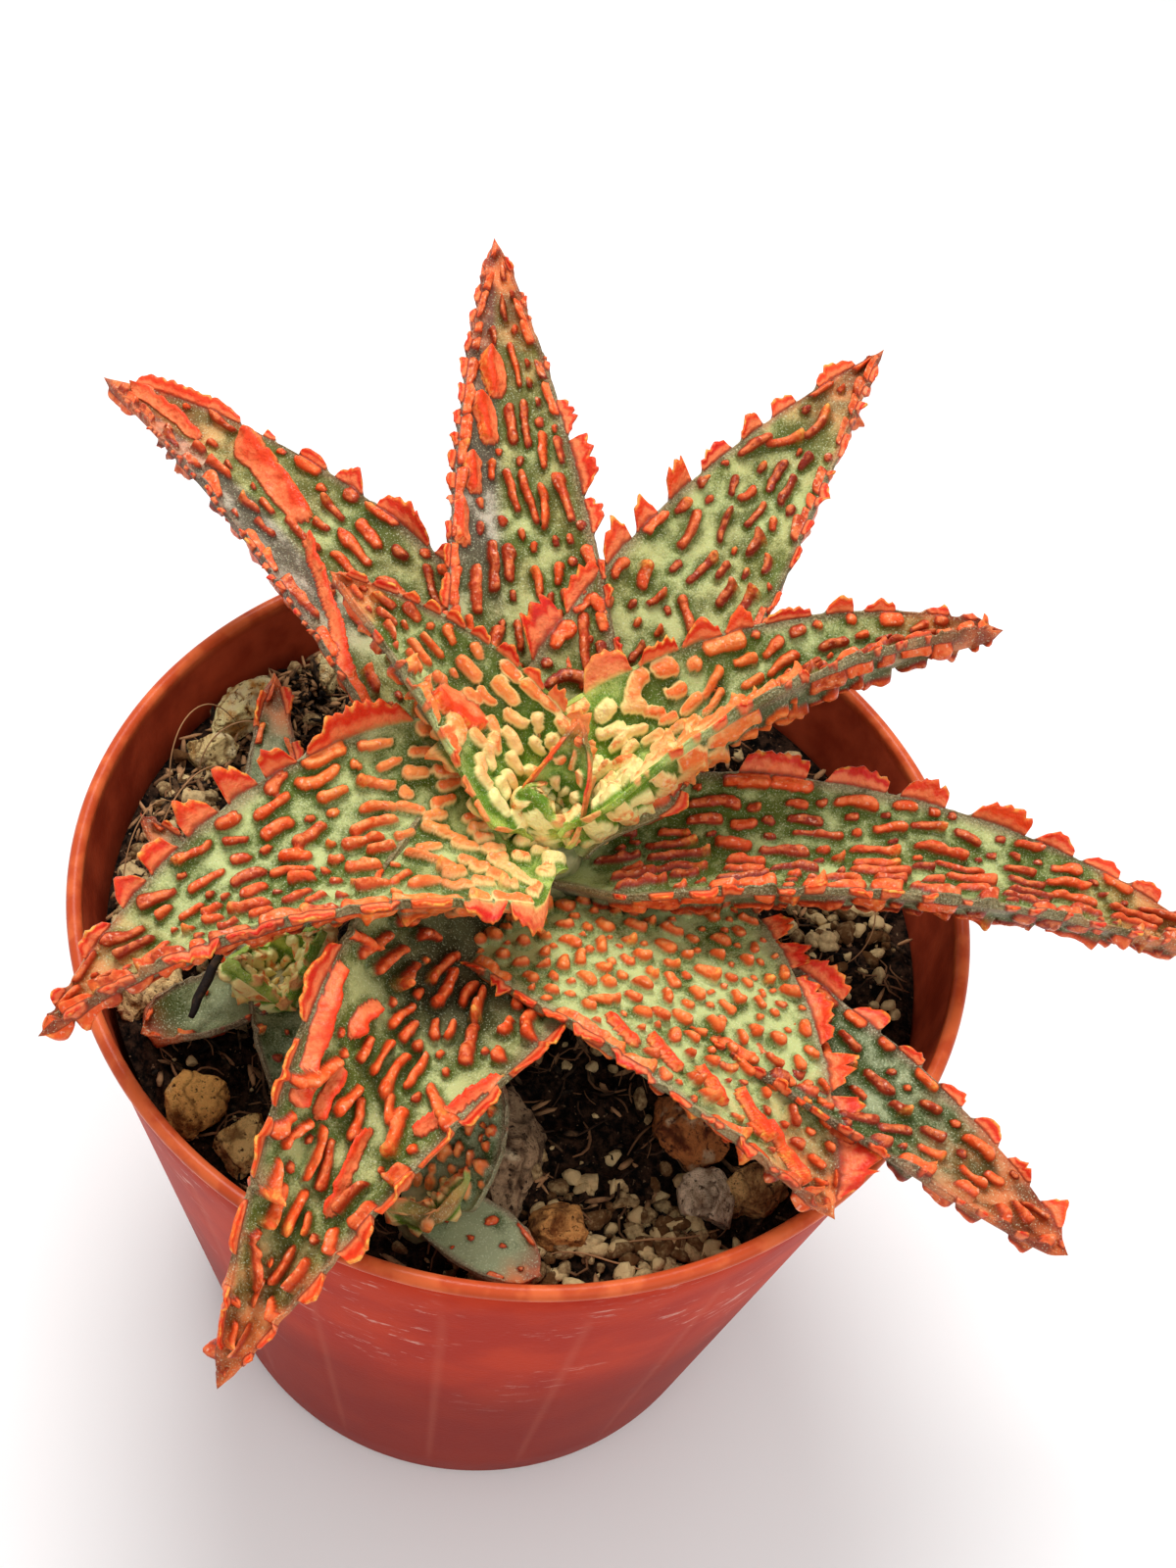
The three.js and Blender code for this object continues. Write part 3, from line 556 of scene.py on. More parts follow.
# What differs between a leaf's two faces: the cells, the name of the spacing in the leaf's row, the share of
# the warts' height that is left at the margin and what the rest adds, where they start to fade, how far they
# lean to the tip, and the swells of the skin as depth, size and seed.
UPPER = dict(
    under=0.0, cell=CELL_ACROSS, spacing="spacing", seed=0, least=0.35, more=0.65, fade=0.93, lean_on=0.22,
    swells=((0.16, 3.4, 0), (0.06, 1.1, 50)),
)
LOWER = dict(
    under=1.0, cell=CELL_BELOW, spacing="below", seed=500, least=0.2, more=0.6, fade=0.9, lean_on=0.0,
    swells=((0.12, 3.0, 70),),
)

# How the plates of a margin are drawn. peak is where the crest is highest, body how full its ends are, and a
# low or a high knot of the crest is cut by a share of the teeth.
PLATE = dict(
    wide_gap=(0.8, 3), gap=(0.1, 0.6), peak=(0.25, 0.8), body=(0.12, 0.5), knot=(0.2, 0.9),
    low=(0.3, 1), high=(-0.25, 0.3), lean_spread=14, least=0.1, ending=0.35,
)
PLATE_WAVE = dict(depth=0.42, size=2.6, fine_depth=0.14, fine_size=0.9, share=0.8)
PLATE_TILT = (-30, 88)
PLATE_SLANT = 0.4
PLATE_THINNING = 1.3


def outline(leaf, t):
    clasp = NECK + (1 - NECK) * smoothstep(0, NECK_END, t)
    return (1 - t) ** leaf["taper"] * (ROOT_WIDTH + leaf["belly"] * t) * clasp


def half_width(leaf, t):
    return leaf["width"] / 2 * outline(leaf, t) / outline(leaf, np.linspace(0, 1, 51)).max()


def youth_at(leaf, t):
    return np.clip(leaf["youth"] * (1 - smoothstep(0, leaf["fade"], t)), 0, 1)


def margin_of(leaf, hand):
    return {**MARGIN, **leaf["left" if hand > 0 else "right"]}


class Blade:
    """A leaf's bare blade: its stations from root to tip, with their directions and sizes.

    t is the share of the length and s the distance from the root. Each station has its centre, the
    directions along, to the left side and up, its half width, its thickness in the middle and at the edge,
    and its fold.
    """

    def __init__(self, leaf):
        self.t = np.linspace(0, LAST_STATION, int(leaf["length"] / CELL_ALONG) + 1)
        self.s = self.t * leaf["length"]
        pitch = np.radians(leaf["rise"] + leaf["droop"] * self.t)
        heading = np.radians(leaf["heading"] + leaf["sweep"] * self.t)
        flat = np.cos(pitch)
        self.along = np.stack([flat * np.cos(heading), flat * np.sin(heading), np.sin(pitch)], -1)
        step = unit(self.along[1:] + self.along[:-1]) * leaf["length"] * np.diff(self.t)[:, None]
        stem = STEMS[leaf["stem"]]
        root = np.array([[stem["x"], stem["y"], leaf["height"]]], float)
        self.centre = np.concatenate([root, root + np.cumsum(step, 0)])
        level = np.stack([-np.sin(heading), np.cos(heading), 0 * heading], -1)
        roll = np.radians(leaf["roll"] + leaf["twist"] * self.t)[:, None]
        self.side = level * np.cos(roll) + np.cross(self.along, level) * np.sin(roll)
        self.up = np.cross(self.along, self.side)
        self.half = half_width(leaf, self.t)
        closing = np.sqrt(1 - smoothstep(0.97, 1.0, self.t) ** 2 * 0.9)
        thinner = (leaf["thick"] - TIP_THICKNESS) * (1 - self.t) ** THINNING
        self.thick = (TIP_THICKNESS + thinner) * closing
        self.edge = EDGE * closing
        self.fold = leaf["fold"] + leaf["unfold"] * self.t

    def face(self, u, under):
        """Points of a face at places u across, from -1 to 1, and how far they are from the middle."""
        w = self.half[:, None] * u[None, :]
        lift = (self.half * self.fold)[:, None] * u[None, :] ** 2
        up = self.up[:, None]
        points = self.centre[:, None] + self.side[:, None] * w[..., None] + up * lift[..., None]
        if under:
            swell = np.maximum(self.thick - self.edge, 0)[:, None] * (1 - u[None, :] ** 2)
            points = points - up * (swell + self.edge[:, None])[..., None]
        return points, w


def wart(s, w, core, radius, height, turn=0.0, tone=0.5, bend=0.0, spike=0.0, free=0):
    """A wart at s along and w across, with its half length, half width, height, turn and colours."""
    return {"s": s, "w": w, "core": core, "radius": radius, "height": height, "turn": turn, "tone": tone,
            "bend": bend, "spike": spike, "free": free}


def wart_scale(leaf):
    return min(1.0, 0.45 + leaf["width"] / FULL_SIZE_WIDTH)


def wart_tone(random, leaf):
    return min(1.0, 0.6 * random.random() + 0.5 * leaf["warm"])


def rim_warts(random, leaf, hand):
    """The row of long swellings that lies along a margin."""
    size = wart_scale(leaf)
    swollen = margin_of(leaf, hand)["swollen"]
    warts = []
    s = leaf["length"] * max(leaf["bare"], 0.04)
    while s < LAST_WART * leaf["length"]:
        t = s / leaf["length"]
        half = half_width(leaf, t)
        slope = (half_width(leaf, t + 0.01) - half) / (0.01 * leaf["length"])
        core = size * random.uniform(*RIM_WART["core"]) * (1 - 0.35 * t)
        radius = size * random.uniform(*RIM_WART["radius"]) * (1 - 0.25 * t)
        height = leaf["proud"] * size * random.uniform(*RIM_WART["height"])
        if random.random() < swollen:
            w = hand * (half - 0.7 * radius)
            tone = random.uniform(*RIM_WART["tone"])
            turn = math.atan(slope) * hand
            pointed = random.random() < 0.2
            warts.append(wart(s + core, w, core, radius, height, turn, tone, spike=pointed))
        s += 2 * core + size * random.uniform(*RIM_WART["gap"])
    return warts


def marked_warts(leaf):
    """The large flaps of the upper face, which are placed one by one."""
    warts = []
    for s, u, core, radius, height, turn, free in leaf["marks"]:
        w = u * half_width(leaf, s / leaf["length"])
        warts.append(wart(s, w, core, radius, height, math.radians(turn), 0.8, free=free))
    return warts


def stays_bare(random, leaf, t, u, under):
    if under and abs(u) < UNDER_BARE["half"] and random.random() < UNDER_BARE["share"]:
        return True
    return t > WORN_BAND["start"] and WORN_BAND["inner"] < u * leaf["worn"] < WORN_BAND["outer"]


def throw_warts(random, leaf, spacing, under):
    """The warts of a face: the rows along the margins, the large flaps, and the rest thrown between them."""
    size = wart_scale(leaf)
    warts = rim_warts(random, leaf, 1) + rim_warts(random, leaf, -1)
    if not under:
        warts += marked_warts(leaf)
    for share in ROUNDS:
        for _ in range(int(share["throws"] * leaf["length"] * leaf["width"] / spacing**2)):
            t = random.uniform(leaf["bare"], LAST_WART)
            u = random.uniform(-0.95, 0.95)
            if stays_bare(random, leaf, t, u, under):
                continue
            turn = math.radians(random.gauss(leaf["slant"] * np.sign(u), leaf["spread"]))
            spike = float(random.random() < leaf["spike"])
            tone = wart_tone(random, leaf)
            w = u * half_width(leaf, t)
            smaller = 1 - WART["near_tip"] * t
            for _ in range(1 + int(share["abreast"] * random.random() ** 2)):
                s = t * leaf["length"] + random.gauss(0, 0.7)
                radius = size * share["radius"] * random.uniform(*WART["radius"]) * smaller
                core = size * share["length"] * random.uniform(*leaf["long"]) * smaller / 2
                height = size * leaf["proud"] * share["height"] * random.uniform(*WART["height"])
                apart = WART["apart"] * spacing
                if youth_at(leaf, t) > YOUNG:
                    apart = YOUNG_WART["apart"] * spacing
                    radius = size * random.uniform(*YOUNG_WART["radius"])
                    core = size * random.uniform(*YOUNG_WART["core"])
                    height = size * random.uniform(*YOUNG_WART["height"])
                one = wart(s, w, core, radius, height, turn, tone, random.gauss(0, 0.04), spike)
                inside = half_width(leaf, min(max(s / leaf["length"], 0), 1)) - abs(w) > 0.7 * radius
                if inside and all(far_apart(one, other, apart) for other in warts):
                    warts.append(one)
                w -= np.sign(u) * random.uniform(*WART["beside"]) * spacing
    return warts


def far_apart(one, other, apart):
    ahead = abs(one["s"] - other["s"]) - one["core"] - other["core"]
    aside = abs(one["w"] - other["w"]) - 0.8 * (one["radius"] + other["radius"] - 1.1)
    return math.hypot(max(ahead, 0), aside) > apart and (ahead > 0 or aside > 0)


def wart_shape(one, far, aside, end, radius):
    """The shape from 0 to 1 of a free flap or a smooth bean, and what its plate and glow colours follow."""
    if one["free"]:
        across = np.clip(one["free"] * aside / radius, -1, 1)
        shape = smoothstep(1, 0.86, far) * (0.25 + 0.75 * smoothstep(-1, 0.6, across))
        plate = (0.35 + 0.5 * smoothstep(-0.6, 0.9, across)) * smoothstep(0, 0.3, shape)
        glow = smoothstep(0.72, 1, far) * smoothstep(0.1, 0.5, across) * (far < 1)
        return shape, plate, glow
    shape = np.sqrt(np.clip(1 - far**2.3, 0, 1))
    glow = 0.8 * smoothstep(0.4, 1, end) * one["spike"] * shape
    return shape, 0, glow


def raise_warts(warts, s, w, seed):
    """The warts' height over a face at distances s along and w across, with what their colours follow."""
    raised = {key: np.zeros_like(w) for key in ("height", "cap", "tone", "plate", "glow", "wart_foot_shade_and_tint")}
    spot = np.stack([s[:, None] + 0 * w, w, 0 * w], -1)
    bent_s = s[:, None] + WANDER * noise(spot, WANDER_ALONG, seed)
    bent_s = bent_s + FINE_WANDER * noise(spot, FINE_SIZE, seed + 1)
    bent_w = w + WANDER * noise(spot, WANDER_ACROSS, seed + 2)
    bent_w = bent_w + FINE_WANDER * noise(spot, FINE_SIZE, seed + 3)
    knobs = 1 + KNOB * noise(spot, KNOB_SIZE, seed + 4)
    for one in warts:
        reach = one["core"] + 2.4 * one["radius"] + 0.6
        first, last = np.searchsorted(s, [one["s"] - reach, one["s"] + reach])
        rows = slice(first, last)
        x = bent_s[rows] - one["s"]
        y = bent_w[rows] - one["w"]
        ahead = x * math.cos(one["turn"]) + y * math.sin(one["turn"])
        aside = y * math.cos(one["turn"]) - x * math.sin(one["turn"]) - one["bend"] * ahead**2
        core = np.clip(ahead, -one["core"], one["core"])
        end = np.clip(core / max(one["core"], 0.1), -1, 1)
        radius = one["radius"] * (1 + 0.12 * end) * (0.45 + 0.55 * knobs[rows])
        far = np.hypot(ahead - core, aside) / radius
        # Closeness to a wart's foot, which darkens the skin there: partly a deeper tint, partly painted
        # shade.
        raised["wart_foot_shade_and_tint"][rows] = np.maximum(raised["wart_foot_shade_and_tint"][rows], smoothstep(2.3, 1, far))
        shape, plate, glow = wart_shape(one, far, aside, end, radius)
        tall = one["height"] * knobs[rows] * (1 + 0.12 * end + 0.5 * one["spike"] * np.clip(end, 0, 1) ** 3)
        rise = tall * shape
        higher = rise > raised["height"][rows]
        values = {"height": rise, "cap": shape, "tone": one["tone"], "plate": plate, "glow": glow}
        for key, value in values.items():
            raised[key][rows] = np.where(higher, value, raised[key][rows])
    return raised


def place_plates(random, leaf, margin):
    """The plates of a margin as start, length and height: first the given ones, then those between them."""
    size = min(1.0, 0.4 + leaf["width"] / FULL_SIZE_WIDTH)
    placed = list(margin["plates"])
    start = leaf["length"] * max(leaf["bare"], 0.05)
    while start < leaf["length"] * 0.985:
        t = start / leaf["length"]
        long = size * random.uniform(*margin["reach"]) * (1 - 0.35 * t)
        high = random.uniform(*margin["tall"]) * (1 - 0.4 * t)
        if not any(begin - long < start < begin + reach for begin, reach, _ in margin["plates"]):
            placed.append((start, long, high))
        gap = PLATE["wide_gap"] if random.random() < margin["gaps"] else PLATE["gap"]
        start += long + random.uniform(*gap)
    return placed


def margin_plates(random, leaf, hand, s):
    """Height, lean in degrees and tone of the plates along one margin, at distances s."""
    margin = margin_of(leaf, hand)
    tall = np.full(len(s), PLATE["least"])
    lean = np.full(len(s), float(margin["lean"]))
    tone = np.full(len(s), 0.5)
    for start, long, high in place_plates(random, leaf, margin):
        share = s - start
        inside = (share > 0) & (share < long)
        peak = random.uniform(*PLATE["peak"]) * long
        slopes = np.minimum(share / peak, (long - share) / (long - peak))
        body = np.clip(slopes, 0, 1) ** random.uniform(*PLATE["body"]) * smoothstep(0, 0.3, share)
        knots = [0.0]
        crest = [1.0]
        while knots[-1] < long:
            knots.append(knots[-1] + random.uniform(*PLATE["knot"]))
            cut = PLATE["low"] if len(knots) % 2 == 0 else PLATE["high"]
            crest.append(1 - margin["teeth"] * random.uniform(*cut))
        ending = smoothstep(long, long - PLATE["ending"], share)
        rise = high * body * ending * np.interp(share, knots, crest)
        tall = np.where(inside, np.maximum(tall, rise), tall)
        lean = np.where(inside, margin["lean"] + random.gauss(0, PLATE["lean_spread"]), lean)
        tone = np.where(inside, random.random(), tone)
    return tall * smoothstep(0.995, 0.93, s / leaf["length"]), lean, tone


def smooth_along(values, cells):
    """Values along a line, each averaged with its neighbours."""
    window = np.ones(2 * cells + 1) / (2 * cells + 1)
    return np.convolve(np.pad(values, cells, mode="edge"), window, mode="valid")


def warty_face(random, leaf, blade, kind):
    """A leaf's upper or lower face with its warts: points, and the fields that the colours follow."""
    u = np.linspace(-1, 1, int(leaf["width"] / kind["cell"]) + 1)
    if kind["under"]:
        u = np.linspace(1, -1, len(u))
    points, w = blade.face(u, kind["under"])
    out = unit(np.cross(np.gradient(points, axis=0), np.gradient(points, axis=1)))
    warts = throw_warts(random, leaf, leaf[kind["spacing"]], kind["under"])
    raised = raise_warts(warts, blade.s, w, leaf["seed"] * 7 + kind["seed"])
    ending = smoothstep(1.0, 0.97, blade.t)[:, None]
    height = raised["height"] * ending
    height = height * (kind["least"] + kind["more"] * smoothstep(1.0, kind["fade"], np.abs(u)))
    swell = sum(depth * noise(points, size, leaf["seed"] + seed) for depth, size, seed in kind["swells"])
    swell = swell * smoothstep(1.0, 0.9, np.abs(u)) * ending
    lean_on = blade.along[:, None] * (kind["lean_on"] * height)[..., None]
    points = points + out * (height + swell)[..., None] + lean_on
    fields = {key: raised[key] for key in ("cap", "tone", "plate", "glow", "wart_foot_shade_and_tint")}
    spread = np.ones_like(w)
    fields["across"] = u[None, :] * spread
    fields["rim"] = np.abs(fields["across"])
    fields["under"] = kind["under"] * spread
    return points, fields


def plate_sheet(random, leaf, blade, hand, foot, sole):
    """The plates along one margin: the front sheet from its foot up, its backing, and the fields."""
    tall, lean, tone = margin_plates(random, leaf, hand, blade.s)
    q = np.linspace(0, 1, PLATE_CELLS + 1)
    slope = np.degrees(np.arctan(2 * blade.fold))
    tilt = np.radians(np.clip(slope + smooth_along(lean, 2), *PLATE_TILT))[:, None]
    outward = hand * blade.side * np.cos(tilt) + blade.up * np.sin(tilt)
    inward = blade.up * np.cos(tilt) - hand * blade.side * np.sin(tilt)
    reach = tall[:, None] * q
    wave = PLATE_WAVE["depth"] * noise(foot, PLATE_WAVE["size"], leaf["seed"] + 90 + hand)
    wave = wave + PLATE_WAVE["fine_depth"] * noise(foot, PLATE_WAVE["fine_size"], leaf["seed"] + 95)
    curl = wave[:, None] * reach * PLATE_WAVE["share"]
    slant = blade.along[:, None] * (PLATE_SLANT * reach)[..., None]
    sheet = foot[:, None] + outward[:, None] * reach[..., None] + inward[:, None] * curl[..., None] + slant
    apart = np.linalg.norm(foot - sole, axis=-1)[:, None]
    thin = np.maximum(apart * (1 - q) ** PLATE_THINNING, np.minimum(PLATE_EDGE, apart))
    blend = smoothstep(0, 0.45, q)[None, :, None]
    gap = unit(unit(foot - sole)[:, None] * (1 - blend) + inward[:, None] * blend)
    backing = sheet - gap * thin[..., None]
    share = q[None, :] * smoothstep(0.3, 0.9, tall)[:, None]
    spread = np.ones_like(share)
    fields = {
        "cap": 0 * spread, "wart_foot_shade_and_tint": 0 * spread, "tone": tone[:, None] * spread, "plate": share,
        "glow": smoothstep(0.76, 1, share), "across": hand * spread, "rim": spread, "under": 0 * spread,
    }
    return sheet, backing, fields


def leaf_fields(leaf, t, fields):
    """The fields of a whole leaf, with those that depend only on the place on it."""
    along = np.repeat(t[:, None], fields["cap"].shape[1], 1)
    across = fields.pop("across")
    fields["along"] = along
    fields["youth"] = youth_at(leaf, along)
    fields["tint"] = np.full(along.shape, float(leaf["tint"]))
    fields["olive"] = np.full(along.shape, float(leaf["olive"]))
    fields["worn"] = smoothstep(0.1, 0.4, leaf["worn"] * across) * smoothstep(0.3, 0.5, along)
    # Painted shade: the middle of the channel near the root is darkened as if shadowed.
    fields["painted_root_shade"] = smoothstep(leaf["painted_root_shade"], 0.7 * leaf["painted_root_shade"] - 0.001, along) * (1 - across**2)
    return fields


def leaf_piece(name, row, material):
    """The leaf's skin with its warts and margin plates, as one closed mesh.

    Each station is a ring of points: over the upper face from right to left, up the left plates and down
    their backing, back over the lower face, and up the backing of the right plates and down their front.
    """
    leaf = {**LEAF, **row}
    random = RandomStream(leaf["seed"])
    blade = Blade(leaf)
    top, top_fields = warty_face(random, leaf, blade, UPPER)
    low, low_fields = warty_face(random, leaf, blade, LOWER)
    left, left_backing, left_fields = plate_sheet(random, leaf, blade, 1, top[:, -1], low[:, 0])
    right, right_backing, right_fields = plate_sheet(random, leaf, blade, -1, top[:, 0], low[:, -1])

    def ring_of(top, left, left_backing, low, right_backing, right):
        blocks = [top, left[:, 1:], left_backing[:, :0:-1], low, right_backing[:, 1:], right[:, :0:-1]]
        return np.concatenate(blocks, 1)

    ring = ring_of(top, left, left_backing, low, right_backing, right)
    fields = {}
    for key in top_fields:
        on_left = left_fields[key]
        on_right = right_fields[key]
        fields[key] = ring_of(top_fields[key], on_left, on_left, low_fields[key], on_right, on_right)
    root_point = blade.centre[0] - blade.up[0] * blade.thick[0] / 2
    tip_point = blade.centre[-1] + blade.along[-1] * TIP_POINT
    points = np.concatenate([ring.reshape(-1, 3), [root_point, tip_point]])
    closed = {}
    for key, values in leaf_fields(leaf, blade.t, fields).items():
        closed[key] = np.concatenate([values.ravel(), [values[0, 0], values[-1, 0]]])
    faces = pointed_faces(len(blade.t), ring.shape[1], False)
    piece = mesh_object(name + "_skin", points, faces, material, closed)
    place(piece, leaf["slot"], name)


# Materials


def colour(red, green, blue):
    """A colour given as the eye sees it, from 0 to 255, as light."""
    parts = np.array([red, green, blue]) / 255
    light = np.where(parts <= 0.04045, parts / 12.92, ((parts + 0.055) / 1.055) ** 2.4)
    return (*light.tolist(), 1.0)


class Nodes:
    """A material's node tree, with short calls for the nodes that the looks here need."""

    def __init__(self, name):
        self.material = bpy.data.materials.new(name)
        self.material.use_nodes = True
        self.tree = self.material.node_tree
        self.shader = self.tree.nodes["Principled BSDF"]
        self.where = self.new("ShaderNodeTexCoord").outputs["Object"]

    def new(self, kind, **settings):
        node = self.tree.nodes.new(kind)
        for key, value in settings.items():
            setattr(node, key, value)
        return node

    def feed(self, socket, value):
        if isinstance(value, bpy.types.NodeSocket):
            self.tree.links.new(value, socket)
        else:
            socket.default_value = value

    def field(self, name):
        return self.new("ShaderNodeAttribute", attribute_name=name).outputs["Fac"]

    def math(self, operation, a, b):
        node = self.new("ShaderNodeMath", operation=operation)
        self.feed(node.inputs[0], a)
        self.feed(node.inputs[1], b)
        return node.outputs[0]

    def times(self, a, b):
        return self.math("MULTIPLY", a, b)

    def plus(self, a, b):
        return self.math("ADD", a, b)

    def ramp(self, value, low, high, to_low=0.0, to_high=1.0):
        node = self.new("ShaderNodeMapRange", interpolation_type="SMOOTHSTEP")
        self.feed(node.inputs["Value"], value)
        self.feed(node.inputs["From Min"], low)
        self.feed(node.inputs["From Max"], high)
        self.feed(node.inputs["To Min"], to_low)
        self.feed(node.inputs["To Max"], to_high)
        return node.outputs[0]

    def mix(self, share, a, b):
        node = self.new("ShaderNodeMix", data_type="RGBA")
        self.feed(node.inputs[0], share)
        self.feed(node.inputs[6], a)
        self.feed(node.inputs[7], b)
        return node.outputs[2]

    def noise(self, size, detail=2.0, stretch=(1, 1, 1), roughness=0.5):
        """Noise from 0 to 1 with lumps of about the given size in millimetres."""
        mapping = self.new("ShaderNodeMapping")
        self.feed(mapping.inputs["Vector"], self.where)
        mapping.inputs["Scale"].default_value = stretch
        node = self.new("ShaderNodeTexNoise")
        self.feed(node.inputs["Vector"], mapping.outputs[0])
        node.inputs["Scale"].default_value = 1 / (size * MM)
        node.inputs["Detail"].default_value = detail
        node.inputs["Roughness"].default_value = roughness
        return node.outputs["Fac"]

    def bump(self, height, depth, strength=1.0, under=None):
        """A bump of the given depth in millimetres."""
        node = self.new("ShaderNodeBump")
        node.inputs["Strength"].default_value = strength
        node.inputs["Distance"].default_value = depth * MM
        self.feed(node.inputs["Height"], height)
        if under is not None:
            self.feed(node.inputs["Normal"], under)
        return node.outputs[0]

    def finish(self, base, roughness, normal=None, **plain):
        self.feed(self.shader.inputs["Base Color"], base)
        self.feed(self.shader.inputs["Roughness"], roughness)
        if normal is not None:
            self.feed(self.shader.inputs["Normal"], normal)
        for key, value in plain.items():
            self.shader.inputs[key.replace("_", " ")].default_value = value
        return self.material


def skin_colour(n, grain, light, dark):
    """Mottled green, olive in patches, fresh in the heart, grey where old or worn, and red at the tip, with
    painted shade round the warts' feet (partly a deeper tint) and in the channel at the root.
    """
    under = n.field("under")
    youth = n.field("youth")
    blotch = n.noise(3.6, 3)
    mottle = n.plus(n.times(blotch, 0.7), n.times(grain, 0.3))
    mottle = n.plus(mottle, n.times(n.field("tint"), 0.07))
    # Round the warts' feet the skin is darkened, partly as a deeper tint and partly as painted shade.
    mottle = n.math("SUBTRACT", mottle, n.times(n.field("wart_foot_shade_and_tint"), 0.1))
    lit = n.ramp(mottle, 0.37, 0.63)
    grown = n.ramp(youth, 0.7, 0.2)

    skin = n.mix(lit, dark, light)
    olive = n.mix(lit, colour(98, 84, 30), colour(182, 168, 100))
    olive_share = n.times(n.field("olive"), n.ramp(n.noise(6, 3), 0.35, 0.6, 0.25, 1))
    skin = n.mix(n.times(olive_share, 0.75), skin, olive)
    aged = n.mix(lit, colour(92, 92, 74), colour(160, 158, 136))
    aged_share = n.times(n.ramp(under, 0.5, 1, 0, 0.6), n.ramp(youth, 0.8, 0.3))
    skin = n.mix(aged_share, skin, aged)
    fresh = n.mix(lit, colour(100, 136, 26), colour(186, 204, 90))
    skin = n.mix(n.ramp(youth, 0.5, 0.95), skin, fresh)
    grey = n.mix(n.ramp(mottle, 0.4, 0.62), colour(86, 74, 64), colour(186, 172, 158))
    skin = n.mix(n.times(n.field("worn"), 0.85), skin, grey)
    corky = n.mix(n.ramp(grain, 0.35, 0.7), colour(92, 60, 48), colour(156, 124, 100))
    edge = n.ramp(n.plus(n.field("rim"), n.times(blotch, 0.2)), 0.94, 1.12)
    skin = n.mix(n.times(n.times(edge, grown), 0.7), skin, corky)
    ember = n.mix(n.ramp(blotch, 0.4, 0.6), colour(150, 46, 26), colour(232, 110, 52))
    tip = n.ramp(n.plus(n.field("along"), n.times(blotch, 0.3)), 0.85, 1.15)
    skin = n.mix(n.times(n.times(tip, grown), 0.85), skin, ember)
    # Painted shade: the middle of the channel near the root is painted dark brown, as the shadow that falls
    # there.
    skin = n.mix(n.times(n.field("painted_root_shade"), 0.85), skin, colour(38, 22, 12))
    speck = n.ramp(n.noise(0.17, 1), 0.58, 0.74, 0, 0.5)
    return n.mix(speck, skin, colour(216, 222, 182))


def wart_colour(n, cap, tone):
    """Brick red on old parts, then orange, peach and cream towards the heart. The old and middle warts have
    painted highlights on their crests and painted shade on their sides, and all have painted glints on top.
    """
    youth = n.field("youth")
    crest = n.times(n.ramp(cap, 0.6, 0.98), n.ramp(n.noise(0.8, 3), 0.36, 0.62))
    # Painted highlight: the share by which the crests of the old and middle warts are made paler below, as
    # if lit from above.
    crest_highlight = n.times(crest, 0.6)

    old = n.mix(n.ramp(tone, 0.1, 0.95), colour(134, 38, 20), colour(238, 88, 34))
    old = n.mix(crest_highlight, old, colour(248, 138, 78))
    # Painted shade: the sides of the old warts are darkened towards brown-red.
    old = n.mix(n.ramp(cap, 0.9, 0.4, 0, 0.7), old, colour(112, 24, 8))
    middle = n.mix(tone, colour(206, 66, 26), colour(246, 126, 54))
    middle = n.mix(crest_highlight, middle, colour(254, 174, 104))
    # Painted shade: the sides of the middle warts are darkened.
    middle = n.mix(n.ramp(cap, 0.9, 0.4, 0, 0.5), middle, colour(158, 46, 12))
    mellow = n.mix(tone, colour(246, 164, 84), colour(240, 104, 48))
    mellow_side = n.ramp(n.plus(cap, n.times(crest, 0.3)), 1.05, 0.6)
    mellow = n.mix(mellow_side, mellow, colour(250, 206, 134))
    young = n.mix(n.ramp(tone, 0.3, 1), colour(246, 238, 160), colour(250, 210, 130))
    young_crest = n.ramp(n.plus(n.times(crest, 0.5), tone), 0.85, 1.25)
    young = n.mix(young_crest, young, colour(240, 132, 66))

    wart = n.mix(n.ramp(youth, 0.08, 0.3), old, middle)
    wart = n.mix(n.ramp(youth, 0.35, 0.6), wart, mellow)
    wart = n.mix(n.ramp(youth, 0.6, 0.9), wart, young)
    # Painted glints: pale flecks on the tops of the warts stand in for small highlights.
    glint = n.ramp(n.noise(0.42, 1), 0.6, 0.72)
    return n.mix(n.times(glint, n.ramp(cap, 0.7, 0.95, 0, 0.4)), wart, colour(255, 206, 176))


def plate_colour(n, tone, plate, streak):
    """Red plates with a dark foot, paler patches and red streaks, which are pale in the heart."""
    youth = n.field("youth")
    foot = n.mix(n.ramp(youth, 0.2, 0.8), colour(118, 34, 28), colour(232, 200, 116))
    flesh = n.mix(tone, colour(204, 26, 20), colour(244, 78, 34))
    pale = n.plus(n.times(n.ramp(plate, 0.95, 0.3), 0.5), n.times(n.noise(2.2, 3), 0.9))
    flesh = n.mix(n.ramp(pale, 0.6, 0.95, 0, 0.7), flesh, colour(250, 146, 90))
    flesh = n.mix(n.ramp(youth, 0.6, 1), flesh, colour(248, 180, 108))
    scale = n.mix(n.ramp(plate, 0.04, 0.35), foot, flesh)
    return n.mix(n.ramp(streak, 0.46, 0.66, 0, 0.35), scale, colour(214, 40, 26))


